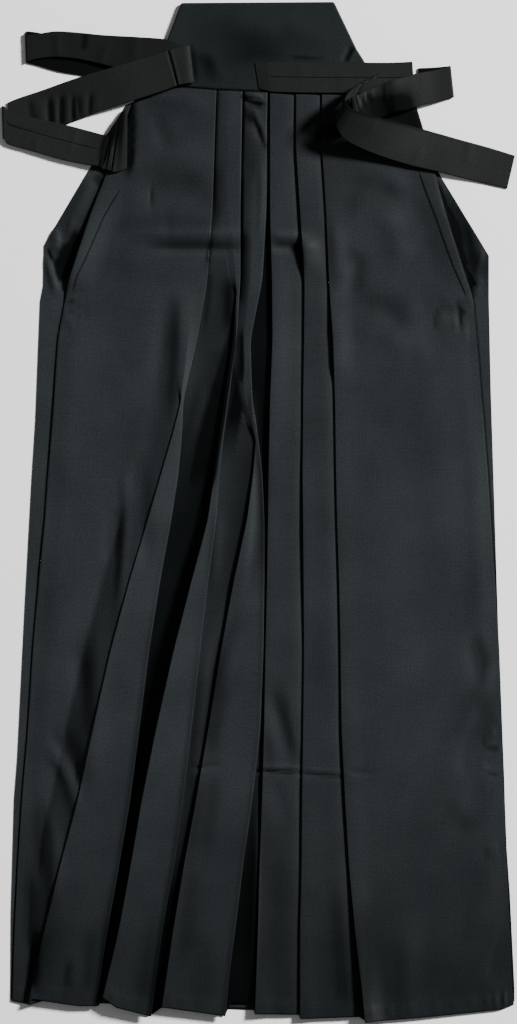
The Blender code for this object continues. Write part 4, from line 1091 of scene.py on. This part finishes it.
def stitches(name, line):
    # one short spindle of thread for each stitch along a line, its ends sunk into the cloth
    travelled = arcLength(line[:, None], 0)[:, 0]
    places = np.arange(sewing["pitch"] / 2, travelled[-1], sewing["pitch"])
    start, stop = (np.stack([np.interp(places + shift, travelled, line[:, i]) for i in range(3)], axis=-1)
                   for shift in (-sewing["stitch"] / 2, sewing["stitch"] / 2))
    up = np.array([0.0, 0.0, 1.0])
    side = np.cross(up, stop - start)
    side /= np.linalg.norm(side, axis=-1, keepdims=True)
    girth, rise = (sewing["radius"] * np.array(sewing[key])[:, None] for key in ("girth", "rise"))
    rings, sides = len(girth), sewing["sides"]
    share = np.linspace(0.0, 1.0, rings)[:, None]
    turn = (np.arange(sides) * math.tau / sides)[:, None]
    centre = start[:, None] * (1 - share) + stop[:, None] * share + up * rise
    ring = centre[:, :, None] + girth[..., None] * (np.cos(turn) * side[:, None, None] + np.sin(turn) * up)
    index = np.arange(len(places) * rings * sides).reshape(len(places), rings, sides)
    wrap = np.roll(index, -1, axis=2)
    faces = np.stack([index[:, :-1], wrap[:, :-1], wrap[:, 1:], index[:, 1:]], axis=-1).reshape(-1, 4)
    mesh = bpy.data.meshes.new(name)
    mesh.from_pydata(ring.reshape(-1, 3) / page["perMetre"], [],
                     faces.tolist() + index[:, 0, ::-1].tolist() + index[:, -1].tolist())
    newPiece(name, mesh, seamThread)


def stitchLine(grid, side, inward):
    # the line over a front at its stitch line's distance in from its side edge
    part = grid[:, :sewing["columns"]] if inward > 0 else grid[:, -sewing["columns"]:]
    wanted = part[:, 0 if inward > 0 else -1, 0] + inward * readTable(opening[side]["inset"], legRows)
    place = np.clip((part[..., 0] < wanted[:, None]).sum(axis=1), 1, part.shape[1] - 1)
    rows = np.arange(len(part))
    before, after = part[rows, place - 1], part[rows, place]
    line = before + (after - before) * ((wanted - before[:, 0]) / (after[:, 0] - before[:, 0]))[:, None]
    line[:, 2] += cloth["wall"] / 2
    start, stop = sewing[side]
    return line[(legRows >= start) & (legRows <= stop)]


stitches("rightOpeningStitches", stitchLine(rightGrid, "right", 1))
stitches("leftOpeningStitches", stitchLine(leftGrid, "left", -1))
print("sewing made")

# Floor, light and camera, in metres and degrees. The floor is uncoated paper, matt and nearly white.
studio = {
    "floor": "#fafafa", "floorSize": 6.0,
    "keyElevation": 26.0, "keyAzimuth": 30.0, "keyDistance": 9.0, "keySize": 1.57, "keyPower": 3000.0,
    "sky": 0.15, "keyAim": (0.0, 0.1, 0.0), "clothHeight": 0.003, "frameHeight": 1.024, "sensor": 36.0,
    "cameraHeight": 3.2,        # over the cloth
}
half = studio["floorSize"] / 2
floorMesh = bpy.data.meshes.new("paperFloor")
floorMesh.from_pydata([(-half, -half, 0), (half, -half, 0), (half, half, 0), (-half, half, 0)], [],
                      [(0, 1, 2, 3)])
floorMesh.materials.append(newMaterial("seamlessPaper", {
    "Base Color": toLinear(studio["floor"]), "Roughness": 0.9, "Specular IOR Level": 0.1})[0])
floor = bpy.data.objects.new("paperFloor", floorMesh)
bpy.context.scene.collection.objects.link(floor)

elevation, azimuth = math.radians(studio["keyElevation"]), math.radians(studio["keyAzimuth"])
towards = np.array([math.cos(elevation) * math.cos(azimuth), math.cos(elevation) * math.sin(azimuth),
                    math.sin(elevation)])
keyData = bpy.data.lights.new("softKey", "AREA")
keyData.shape = "DISK"
keyData.size = studio["keySize"]
keyData.energy = studio["keyPower"]
keyLight = bpy.data.objects.new("softKey", keyData)
keyLight.location = (towards * studio["keyDistance"] + np.array(studio["keyAim"])).tolist()
keyLight.rotation_euler = (math.pi / 2 - elevation, 0.0, math.pi / 2 + azimuth)
bpy.context.scene.collection.objects.link(keyLight)

world = bpy.context.scene.world or bpy.data.worlds.new("studioAir")
bpy.context.scene.world = world
world.use_nodes = True
background = world.node_tree.nodes["Background"]
background.inputs["Color"].default_value = (1.0, 1.0, 1.0, 1.0)
background.inputs["Strength"].default_value = studio["sky"]

cameraData = bpy.data.cameras.new("pageCamera")
cameraData.sensor_fit = "VERTICAL"
cameraData.sensor_height = studio["sensor"]
cameraData.lens = studio["sensor"] * studio["cameraHeight"] / studio["frameHeight"]
camera = bpy.data.objects.new("pageCamera", cameraData)
camera.location = (0.0, 0.0, studio["cameraHeight"] + studio["clothHeight"])
bpy.context.scene.collection.objects.link(camera)
bpy.context.scene.camera = camera
print("studio made")
